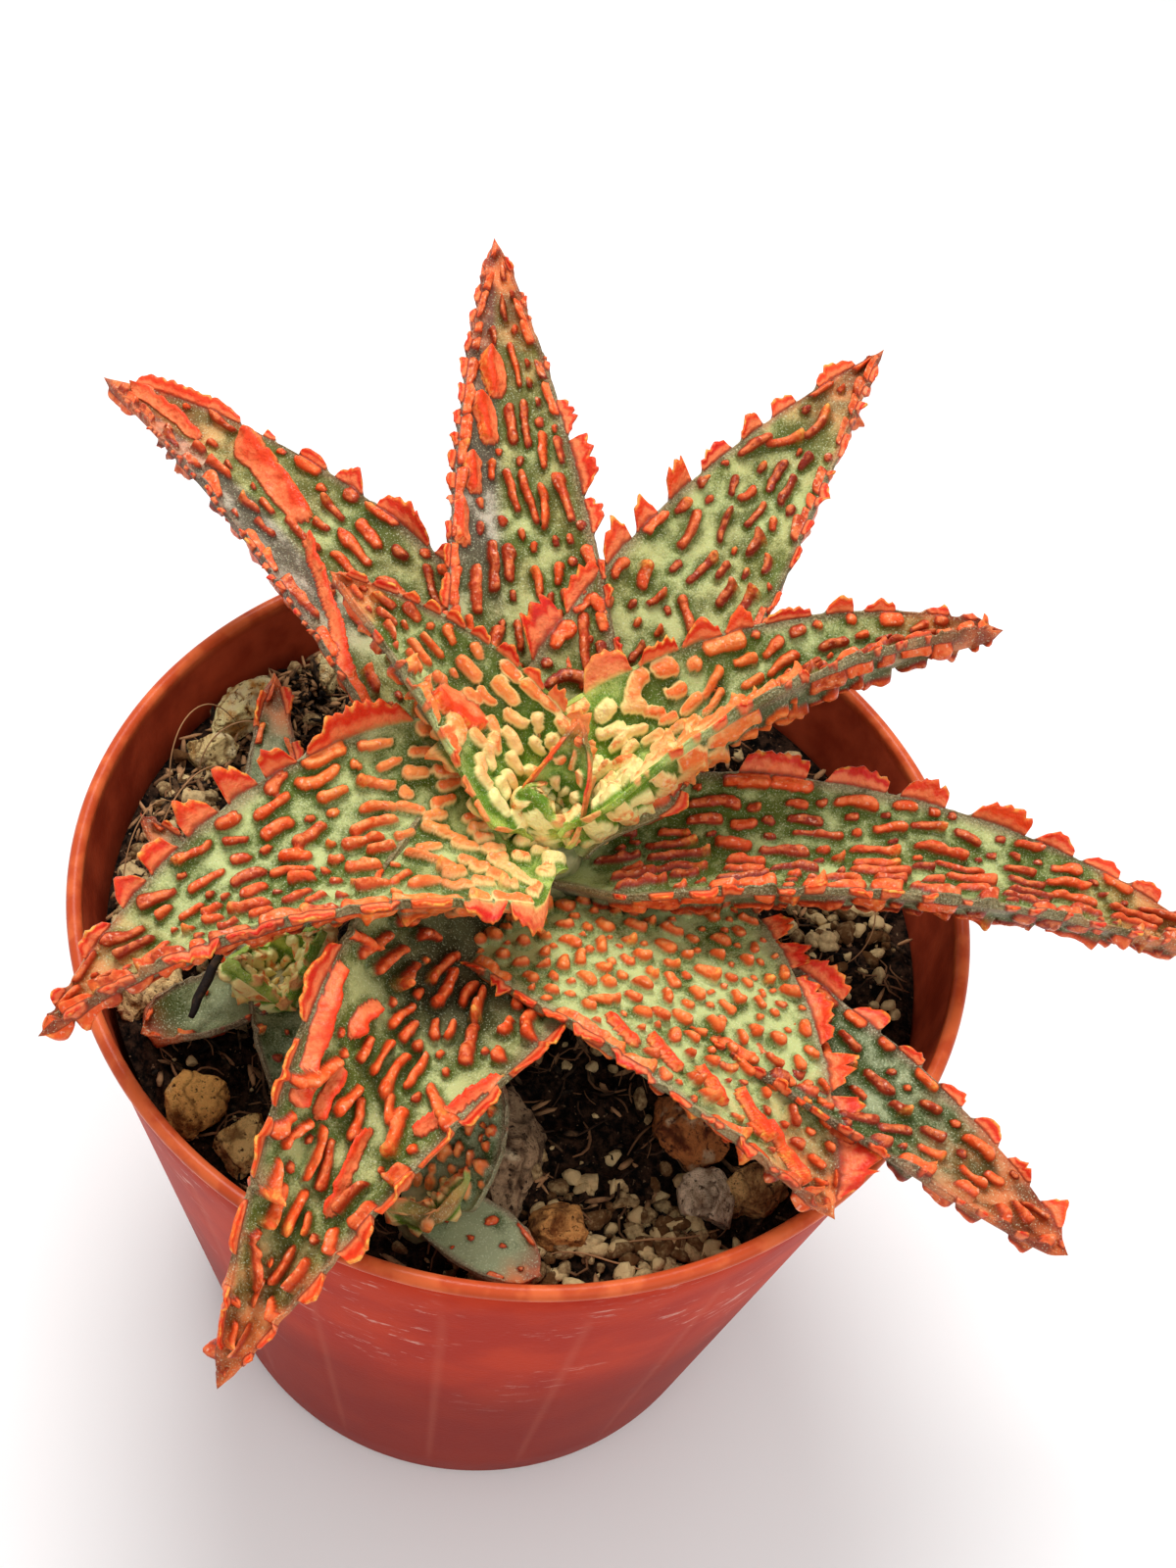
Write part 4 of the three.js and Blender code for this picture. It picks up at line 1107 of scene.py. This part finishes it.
def leaf_material(name, light, dark):
    """A leaf's skin, warts and plates, each where the mesh's fields say that it is."""
    n = Nodes(name)
    cap = n.field("cap")
    tone = n.field("tone")
    plate = n.field("plate")
    grain = n.noise(0.22, 2, roughness=0.7)
    streak = n.noise(0.6, 4)
    base = n.mix(n.ramp(cap, 0.2, 0.6), skin_colour(n, grain, light, dark), wart_colour(n, cap, tone))
    base = n.mix(n.ramp(plate, 0.02, 0.16), base, plate_colour(n, tone, plate, streak))
    bright = n.mix(n.ramp(streak, 0.4, 0.62), colour(246, 110, 38), colour(254, 190, 84))
    lined = n.times(n.field("glow"), n.ramp(n.noise(1.6, 2), 0.4, 0.6, 0.15, 0.8))
    base = n.mix(lined, base, bright)

    fleshy = n.math("MAXIMUM", n.ramp(cap, 0.1, 0.5), n.ramp(plate, 0.05, 0.3))
    roughness = n.ramp(fleshy, 0, 1, 0.55, 0.3)
    fine = n.bump(grain, 0.06, 0.9)
    beads = n.bump(n.times(n.noise(0.5, 2), fleshy), 0.22, 0.8, fine)
    normal = n.bump(n.noise(0.8, 4), 0.16, 0.7, beads)
    return n.finish(base, roughness, normal, Subsurface_Weight=0.15, Subsurface_Scale=0.0012,
                    Subsurface_Radius=(1.0, 0.4, 0.2), Specular_IOR_Level=0.2)


def stem_material():
    n = Nodes("stem_skin")
    base = n.mix(n.ramp(n.noise(1.6, 3), 0.35, 0.65), colour(122, 128, 78), colour(176, 168, 118))
    return n.finish(base, 0.6, n.bump(n.noise(0.6, 3), 0.2))


def pot_material():
    """Terracotta plastic, darker below and paler at the lip and inside, with faint seams and scuffs."""
    n = Nodes("pot_plastic")
    lip = n.field("lip")
    high = n.field("high")
    wall = n.mix(n.ramp(n.noise(9, 4), 0.35, 0.65), colour(168, 36, 10), colour(186, 50, 16))
    wall = n.mix(n.ramp(high, 0, 1, 0.7, 0), wall, colour(112, 14, 0))
    lip_tone = n.mix(n.ramp(n.noise(3, 3), 0.4, 0.6), colour(190, 74, 36), colour(212, 98, 52))
    base = n.mix(lip, wall, lip_tone)
    inside = n.mix(n.ramp(n.noise(4, 4), 0.3, 0.7), colour(150, 54, 32), colour(186, 76, 46))
    base = n.mix(n.field("inside"), base, inside)
    base = n.mix(n.ramp(n.field("seam"), 0.2, 1, 0, 0.1), base, colour(214, 130, 104))
    cloud = n.ramp(n.noise(13, 3), 0.46, 0.6)
    scuffs = n.times(n.ramp(n.noise(1.8, 5, (0.5, 0.5, 1.6), 0.68), 0.56, 0.66), cloud)
    scuffs = n.times(scuffs, high)
    base = n.mix(n.times(scuffs, 0.6), base, colour(226, 186, 172))
    n.feed(n.shader.inputs["Specular IOR Level"], n.ramp(lip, 0, 1, 0.04, 0.14))
    return n.finish(base, n.ramp(lip, 0, 1, 0.45, 0.28), n.bump(n.noise(0.5, 3), 0.03))


def soil_material():
    n = Nodes("soil")
    lump = n.noise(1.1, 5, roughness=0.7)
    base = n.mix(n.ramp(lump, 0.4, 0.66), colour(6, 4, 3), colour(70, 48, 34))
    base = n.mix(n.ramp(n.noise(0.5, 3), 0.66, 0.74), base, colour(150, 120, 90))
    return n.finish(base, 0.95, n.bump(n.noise(0.7, 5, roughness=0.7), 0.6), Specular_IOR_Level=0.1)


def tinted_material(name, dark, light, size, roughness, depth):
    """A mottled fibre or granule whose pieces each have their own tone."""
    n = Nodes(name)
    mottle = n.plus(n.times(n.noise(size, 5, roughness=0.65), 0.6), n.times(n.field("tone"), 0.4))
    base = n.mix(n.ramp(mottle, 0.3, 0.66), dark, light)
    normal = n.bump(n.noise(size / 3, 4, roughness=0.7), depth)
    return n.finish(base, roughness, normal, Specular_IOR_Level=0.2)


def stone_material(name, tones, white):
    """A rough stone with dark pits, streaks and a pale crust."""
    n = Nodes(name)
    streak = n.noise(2.2, 5, (1, 0.45, 1.5), 0.65)
    pits = n.noise(0.7, 4, roughness=0.7)
    dark = colour(*tones[0])
    light = colour(*tones[1])
    base = n.mix(n.ramp(streak, 0.34, 0.56), dark, light)
    crust = n.ramp(n.noise(3, 4), 0.7 - 0.3 * white, 0.8 - 0.3 * white)
    base = n.mix(crust, base, n.mix(0.5, light, colour(252, 234, 190)))
    base = n.mix(n.ramp(pits, 0.46, 0.34), base, n.mix(0.75, dark, colour(20, 10, 4)))
    base = n.mix(n.times(n.field("crack"), 0.8), base, n.mix(0.5, dark, colour(30, 14, 6)))
    normal = n.bump(pits, 0.9, 1.0, n.bump(n.noise(0.25, 3, roughness=0.7), 0.14))
    return n.finish(base, 0.9, normal, Specular_IOR_Level=0.2)


# Pot


# The parts of the pot's skin.
BASE_PART = 0
WALL_PART = 1
LIP_PART = 2
INNER_PART = 3


def inner_radius(z):
    share = z / (POT_HEIGHT - LIP_HEIGHT)
    return BASE_RADIUS + (RIM_RADIUS - LIP_WIDTH - BASE_RADIUS) * share - WALL


def pot_profile():
    """The pot's section from the middle of its underside out and back to its floor: radius, height, part."""
    shoulder = RIM_RADIUS - LIP_WIDTH
    under_lip = POT_HEIGHT - LIP_HEIGHT
    floor_radii = (22, 12, 0.6)
    corners = [(radius, 0, BASE_PART) for radius in floor_radii[::-1]]
    corners += [(BASE_RADIUS - 1.2, 0, BASE_PART), (BASE_RADIUS - 0.3, 0.3, BASE_PART)]
    for share in np.linspace(0, 1, 15):
        radius = BASE_RADIUS + (shoulder - BASE_RADIUS) * share
        corners.append((radius, 1 + (under_lip - 1.3) * share, WALL_PART))
    lip_middle = (shoulder - WALL + RIM_RADIUS) / 2
    lip_half = (RIM_RADIUS - shoulder + WALL) / 2
    for turn in np.linspace(-0.5 * np.pi, 1.5 * np.pi, 19)[:-4]:
        z = POT_HEIGHT - LIP_HEIGHT / 2 * (1 - math.sin(turn))
        corners.append((lip_middle + lip_half * math.cos(turn), z, LIP_PART))
    for z in np.linspace(under_lip - 0.4, FLOOR + 0.5, 8):
        corners.append((inner_radius(z), z, INNER_PART))
    corners.append((inner_radius(FLOOR) - 0.5, FLOOR, INNER_PART))
    corners += [(radius, FLOOR, INNER_PART) for radius in floor_radii]
    return np.array(corners)


def pot_piece(material):
    """The pot's wall as a fine lathe with faint upright lines, and its floor with drain holes."""
    profile = pot_profile()
    z = profile[:, 1]
    part = profile[:, 2]
    columns = SEAMS * COLUMNS_PER_SEAM
    angles = circle(columns)
    middle = COLUMNS_PER_SEAM / 2
    from_seam = np.abs(((np.arange(columns) + middle) % COLUMNS_PER_SEAM) - middle)
    zone = smoothstep(74, 70, z) * smoothstep(4, 8, z) * (part == WALL_PART)
    radius = profile[:, :1] - SEAM_DEPTH * zone[:, None] * smoothstep(1, 0, from_seam)[None, :]
    points = np.stack([radius * np.cos(angles), radius * np.sin(angles), z[:, None] + 0 * radius], -1)
    spread = np.ones(columns)
    fields = {
        "lip": np.outer(part == LIP_PART, spread), "inside": np.outer(part == INNER_PART, spread),
        "high": np.outer(smoothstep(26, 62, z) * (part == WALL_PART), spread),
        "seam": np.outer(zone, smoothstep(1.4, 0, from_seam)),
    }
    for key, values in fields.items():
        fields[key] = np.append(values.ravel(), [0.0, float(key == "inside")])
    points = np.concatenate([points.reshape(-1, 3), [[0, 0, 0], [0, 0, FLOOR]]])
    pot = mesh_object("pot_shell", points, pointed_faces(len(profile), columns, True), material, fields)
    drill_holes(pot)
    place(pot, "pot_plastic", "pot")


def drill_holes(pot):
    """Cuts the drain holes through the pot's floor."""
    angles = circle(DRAIN_SIDES)
    points = []
    faces = []
    for index, spot in enumerate((np.arange(DRAIN_HOLES) + 0.5) * 2 * np.pi / DRAIN_HOLES):
        x = DRAIN_CIRCLE * math.cos(spot) + DRAIN_RADIUS * np.cos(angles)
        y = DRAIN_CIRCLE * math.sin(spot) + DRAIN_RADIUS * np.sin(angles)
        for z in (-1.0, FLOOR + 1):
            points.append(np.stack([x, y, 0 * x + z], -1))
        faces += capped_faces(2, DRAIN_SIDES, index * 2 * DRAIN_SIDES)
    drills = mesh_object("drills", np.concatenate(points), faces, pot.data.materials[0])
    cut = pot.modifiers.new("holes", "BOOLEAN")
    cut.operation = "DIFFERENCE"
    cut.object = drills
    cut.solver = "EXACT"
    view = bpy.context.evaluated_depsgraph_get()
    cut_mesh = bpy.data.meshes.new_from_object(pot.evaluated_get(view))
    pot.modifiers.clear()
    pot.data = cut_mesh
    bpy.data.objects.remove(drills, do_unlink=True)


# Soil and what lies on it


def bank_height(x):
    """How much higher the soil is along the left wall."""
    return BANK_HEIGHT * smoothstep(0, 1, (-x - BANK_FOOT) / BANK_WIDTH)


def soil_height(x, y):
    swell = 0.8 * np.sin(0.19 * x + 1.1) * np.cos(0.23 * y - 0.4)
    crumble = 0.55 * np.sin(0.71 * x - 0.6 * y) + 0.35 * np.cos(0.93 * y + 0.5 * x)
    return SOIL_LEVEL + bank_height(x) + swell + crumble


def soil_piece(material):
    """The soil's crumbly top, which evens out at the wall, and its plain sides and underside."""
    share = np.linspace(0.004, 1, SOIL_RINGS)
    angles = circle(SOIL_SIDES)
    reach = inner_radius(SOIL_LEVEL - 1) - SOIL_GAP
    x = reach * share[:, None] * np.cos(angles)
    y = reach * share[:, None] * np.sin(angles)
    flat = np.stack([x, y, 0 * x], -1)
    z = soil_height(x, y) - 0.5 + 0.9 * rough(flat, 3.2, 5, 4) + 0.45 * rough(flat, 1.1, 9, 2)
    shoulder = smoothstep(0.95, 1, share)[:, None]
    z = z * (1 - shoulder) + (SOIL_LEVEL - 1.2 + bank_height(x)) * shoulder
    top = np.stack([x, y, z], -1)
    foot = FLOOR + SOIL_GAP
    foot_radius = inner_radius(foot) - SOIL_GAP
    wall = []
    for down in np.linspace(0.1, 1, 4):
        radius = reach + (foot_radius - reach) * down
        height = top[-1, :, 2] + (foot - top[-1, :, 2]) * down
        wall.append(np.stack([radius * np.cos(angles), radius * np.sin(angles), height], -1))
    wall.append(np.stack([0.1 * np.cos(angles), 0.1 * np.sin(angles), 0 * angles + foot], -1))
    points = np.concatenate([top, np.array(wall)])
    soil = mesh_object("soil_bed", points.reshape(-1, 3), grid_faces(len(points), SOIL_SIDES), material)
    place(soil, "soil", "soil")


def icosphere(subdivisions):
    """Points and faces of an even ball of radius 1."""
    bpy.ops.mesh.primitive_ico_sphere_add(subdivisions=subdivisions, radius=1)
    ball = bpy.context.object
    points = np.array([v.co[:] for v in ball.data.vertices])
    faces = np.array([p.vertices[:] for p in ball.data.polygons])
    bpy.data.objects.remove(ball, do_unlink=True)
    return points, faces


def turn_z(points, degrees):
    angle = math.radians(degrees)
    rotation = np.array([
        [math.cos(angle), -math.sin(angle), 0],
        [math.sin(angle), math.cos(angle), 0],
        [0, 0, 1],
    ])
    return points @ rotation.T


def cut_facets(random, shape, count, upright, depth):
    """A lump with flat facets cut in seeded directions, each as far out as depth says."""
    for _ in range(count):
        facing = unit(np.array([random.gauss(0, 1), random.gauss(0, 1), random.gauss(0, upright)]))
        beyond = np.maximum(shape @ facing - depth(), 0)
        shape = shape - beyond[:, None] * facing * 0.95
    return shape


def stone_pieces():
    ball, faces = icosphere(STONE_FINENESS)
    for index, (name, stone) in enumerate(STONES.items()):
        random = RandomStream(200 + index)
        shape = cut_facets(random, ball, STONE_FACETS, 0.8, lambda: random.uniform(0.62, 0.88))
        size = np.array(stone["size"])
        lump = rough(ball, 0.6, 20 + index, 5)
        crack = smoothstep(0.16, 0, np.abs(noise(ball * size, 2.4, 60 + index) + 0.3 * lump))
        shape = shape * (1.13 + 0.13 * lump - 0.07 * crack)[:, None]
        middle = [stone["x"], stone["y"], SOIL_LEVEL + bank_height(stone["x"]) + stone["lift"]]
        points = turn_z(shape * size, stone["turn"]) + np.array(middle)
        rock = stone_material(name, stone["tones"], stone["white"])
        piece = mesh_object(name + "_rock", points, faces, rock, {"crack": crack})
        place(piece, "stone", name)


def scatter(random, count, reach, heaps=()):
    """Places on the soil: even all over, or round the given heaps (x, y, spread)."""
    places = []
    while len(places) < count:
        if heaps:
            middle_x, middle_y, spread = heaps[int(random.random() * len(heaps))]
            x = random.gauss(middle_x, spread)
            y = random.gauss(middle_y, spread)
        else:
            x = random.uniform(-reach, reach)
            y = random.uniform(-reach, reach)
        if math.hypot(x, y) < reach:
            places.append((x, y))
    return places


class Pile:
    """Many loose lumps gathered into one mesh, each with its own tone."""

    def __init__(self):
        self.points = []
        self.faces = []
        self.tones = []
        self.count = 0

    def add(self, points, faces, tone):
        self.points.append(points)
        self.faces.append(faces + self.count)
        self.tones.append(np.full(len(points), tone))
        self.count += len(points)

    def piece(self, name, material):
        fields = {"tone": np.concatenate(self.tones)}
        return mesh_object(name, np.concatenate(self.points), np.concatenate(self.faces), material, fields)


def grit_piece(material):
    """Angular pumice granules of many sizes, pressed into the soil."""
    random = RandomStream(70)
    fine_ball = icosphere(2)
    plain_ball = icosphere(1)
    reach = inner_radius(SOIL_LEVEL) - 1.6
    places = scatter(random, GRIT_ALL_OVER, reach) + scatter(random, GRIT_IN_HEAPS, reach, GRIT_HEAPS)
    pile = Pile()
    for index, (x, y) in enumerate(places):
        size = 0.3 + 1.05 * random.random() ** 1.8
        ball, ball_faces = fine_ball if size > 0.5 else plain_ball
        shape = ball * (1 + 0.3 * noise(ball, 0.8, 100 + index)[:, None])
        shape = cut_facets(random, shape, GRIT_FACETS, 1, lambda: 0.5)
        stretch = [random.uniform(0.8, 1.3), random.uniform(0.65, 1.05), random.uniform(0.6, 0.95)]
        shape = turn_z(shape * size * np.array(stretch), random.uniform(0, 360))
        height = soil_height(x, y) - 0.1 + 0.4 * size
        pile.add(shape + np.array([x, y, height]), ball_faces, random.random())
    place(pile.piece("pumice_grit", material), "stone")


def chip_piece(material):
    """Coarse splinters and chips of bark and husk, heaped on the soil."""
    random = RandomStream(72)
    ball, ball_faces = icosphere(1)
    reach = inner_radius(SOIL_LEVEL) - 1.4
    places = scatter(random, CHIPS_ALL_OVER, reach) + scatter(random, CHIPS_IN_HEAPS, reach, CHIP_HEAPS)
    pile = Pile()
    for index, (x, y) in enumerate(places):
        long = random.uniform(0.5, 1.7)
        shape = ball * np.array([long, random.uniform(0.16, 0.4), random.uniform(0.12, 0.28)])
        shape = shape * (1 + 0.25 * noise(ball, 0.7, 3000 + index)[:, None])
        shape[:, 2] += shape[:, 0] * random.gauss(0, 0.5)
        shape = turn_z(shape, random.uniform(0, 360))
        height = soil_height(x, y) + random.uniform(-0.3, 0.5)
        pile.add(shape + np.array([x, y, height]), ball_faces, random.random() ** 1.5)
    place(pile.piece("bark_chips", material), "soil")


def tubes(paths, radii, sides):
    """One mesh of thin tubes along paths, each closed at both ends."""
    points = []
    faces = []
    owner = []
    count = 0
    angles = circle(sides)
    for index, (path, radius) in enumerate(zip(paths, radii)):
        heading = unit(np.gradient(path, axis=0))
        across = unit(np.cross(heading, np.array([0.13, 0.21, 0.97])))
        third = np.cross(heading, across)
        ring = across[:, None] * np.cos(angles)[:, None] + third[:, None] * np.sin(angles)[:, None]
        taper = np.sin(np.linspace(0.35, np.pi - 0.35, len(path))) ** 0.5
        block = path[:, None] + ring * (radius * taper)[:, None, None]
        points.append(block.reshape(-1, 3))
        faces += capped_faces(len(path), sides, count)
        owner.append(np.full(len(path) * sides, index))
        count += len(path) * sides
    return np.concatenate(points), faces, np.concatenate(owner)


def fibre_piece(material):
    """Short coir fibres that lie on the soil in every direction."""
    random = RandomStream(71)
    reach = inner_radius(SOIL_LEVEL) - 3
    steps = np.linspace(-0.5, 0.5, 6)
    paths = []
    radii = []
    for x, y in scatter(random, FIBRES, reach):
        long = random.uniform(1.5, 6)
        heading = random.uniform(0, 2 * math.pi)
        angle = heading + random.gauss(0, 0.25) * steps * long
        path_x = x + long * steps * np.cos(angle)
        path_y = y + long * steps * np.sin(angle)
        if np.hypot(path_x, path_y).max() > reach + 2:
            continue
        arch = random.uniform(0, 0.9) * (0.25 - steps**2) * 2
        lift = random.uniform(-0.1, 0.5)
        path_z = soil_height(path_x, path_y) + lift + arch + random.gauss(0, 0.25) * steps
        paths.append(np.stack([path_x, path_y, path_z], -1))
        radii.append(random.uniform(0.06, 0.17))
    points, faces, owner = tubes(paths, radii, 4)
    tones = np.array([random.random() for _ in paths])
    fibres = mesh_object("coir_fibres", points, faces, material, {"tone": tones[owner]})
    place(fibres, "soil")


def root_piece(material):
    """A few roots in arcs over the soil, each drawn smoothly through its points, and the twig."""
    share = np.linspace(0, 1, 25)
    paths = []
    radii = []
    for points, radius in (*ROOTS, TWIG):
        marks = np.linspace(0, 1, len(points))
        curve = np.polyfit(marks, np.array(points, float), len(points) - 1)
        path = sum(factor * share[:, None] ** power for power, factor in enumerate(curve[::-1]))
        paths.append(path + 0.5 * radius * noise(path, 1.3, len(paths))[:, None])
        radii.append(radius)
    points, faces, owner = tubes(paths, radii, 6)
    tone = np.where(owner == len(ROOTS), 0.0, 1.0)
    roots = mesh_object("loose_roots", points, faces, material, {"tone": tone})
    place(roots, "soil")


def stem_pieces(material):
    """The stems, each a slightly ringed taper."""
    share = np.linspace(0, 1, STEM_ROWS)[:, None]
    angles = circle(STEM_SIDES)
    faces = pointed_faces(STEM_ROWS, STEM_SIDES, True)
    for stem in STEMS.values():
        low, high = stem["radii"]
        radius = (low + (high - low) * share) * np.ones(STEM_SIDES)
        z = stem["foot"] + (stem["top"] - stem["foot"]) * share + 0 * radius
        radius = radius * (1 - 0.04 * np.abs(np.sin(z * 1.7 + angles)))
        skin = np.stack([stem["x"] + radius * np.cos(angles), stem["y"] + radius * np.sin(angles), z], -1)
        ends = [[stem["x"], stem["y"], stem["foot"]], [stem["x"], stem["y"], stem["top"]]]
        points = np.concatenate([skin.reshape(-1, 3), ends])
        piece = mesh_object(stem["node"] + "_skin", points, faces, material)
        place(piece, "stem", stem["node"])


# Camera, light and floor


def add_camera():
    data = bpy.data.cameras.new("camera")
    data.sensor_fit = "AUTO"
    data.sensor_width = SENSOR
    data.lens = CAMERA_LENS
    data.clip_start = 0.01
    data.clip_end = 20
    camera = bpy.data.objects.new("camera", data)
    bpy.context.scene.collection.objects.link(camera)
    tilt = Matrix.Rotation(math.radians(90 - CAMERA_ELEVATION), 4, "X")
    roll = Matrix.Rotation(math.radians(CAMERA_ROLL), 4, "Z")
    spot = Matrix.Translation([value * MM for value in CAMERA_PLACE])
    camera.matrix_world = spot @ tilt @ roll
    bpy.context.scene.camera = camera


def add_lamp(name, spot, size, power):
    """A round lamp at a spot in millimetres, turned to the plant."""
    data = bpy.data.lights.new(name, "AREA")
    data.shape = "DISK"
    data.size = size * MM
    data.energy = power
    lamp = bpy.data.objects.new(name, data)
    bpy.context.scene.collection.objects.link(lamp)
    place_at = np.array(spot, float) * MM
    back = unit(place_at - np.array(LAMP_TARGET) * MM)
    right = unit(np.cross(np.array([0, 1, 0.01]), back))
    up = np.cross(back, right)
    matrix = Matrix.Identity(4)
    for column, vector in enumerate((right, up, back, place_at)):
        for row in range(3):
            matrix[row][column] = vector[row]
    lamp.matrix_world = matrix


def add_stage():
    """A white sky, a white floor and the lamps."""
    world = bpy.data.worlds.new("studio")
    world.use_nodes = True
    background = world.node_tree.nodes["Background"]
    background.inputs["Color"].default_value = (1, 1, 1, 1)
    background.inputs["Strength"].default_value = SKY_STRENGTH
    bpy.context.scene.world = world
    n = Nodes("floor")
    white = n.mix(n.noise(60, 2), colour(244, 244, 243), colour(250, 250, 250))
    corners = [(-FLOOR_HALF, -FLOOR_HALF, 0), (FLOOR_HALF, -FLOOR_HALF, 0), (FLOOR_HALF, FLOOR_HALF, 0),
               (-FLOOR_HALF, FLOOR_HALF, 0)]
    floor = mesh_object("floor", corners, [[0, 1, 2, 3]], n.finish(white, 0.9))
    for name, lamp in LAMPS.items():
        add_lamp(name, **lamp)
    bpy.context.scene.view_settings.view_transform = "Standard"
    bpy.context.scene.view_settings.look = "None"


def plant_leaves():
    """All leaves, in the skin of their slot."""
    skins = {
        "leaf": leaf_material("leaf", colour(186, 194, 128), colour(82, 96, 28)),
        "old_leaf": leaf_material("old_leaf", colour(154, 162, 122), colour(60, 74, 24)),
        "heart_leaf": leaf_material("heart_leaf", colour(170, 194, 104), colour(96, 134, 40)),
    }
    for name, row in LEAVES.items():
        leaf_piece(name, row, skins[row.get("slot", "leaf")])


def fill_pot():
    """The soil with its stones and the loose pieces that lie on it."""
    soil_piece(soil_material())
    stone_pieces()
    grit_piece(tinted_material("pumice", colour(104, 68, 34), colour(236, 204, 146), 0.7, 0.9, 0.3))
    chip_piece(tinted_material("bark", colour(16, 10, 6), colour(182, 136, 94), 1.4, 0.9, 0.14))
    fibre_piece(tinted_material("coir", colour(30, 18, 12), colour(128, 90, 60), 3.0, 0.9, 0.05))
    root_piece(tinted_material("root", colour(30, 22, 20), colour(168, 124, 84), 2.0, 0.8, 0.05))


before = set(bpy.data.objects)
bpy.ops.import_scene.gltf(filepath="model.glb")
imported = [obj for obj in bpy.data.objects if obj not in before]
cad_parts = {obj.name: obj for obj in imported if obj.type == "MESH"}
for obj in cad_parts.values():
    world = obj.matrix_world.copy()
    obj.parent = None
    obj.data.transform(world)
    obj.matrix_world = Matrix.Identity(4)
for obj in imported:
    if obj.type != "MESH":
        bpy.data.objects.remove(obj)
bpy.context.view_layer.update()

add_camera()
add_stage()
plant_leaves()
stem_pieces(stem_material())
pot_piece(pot_material())
fill_pot()
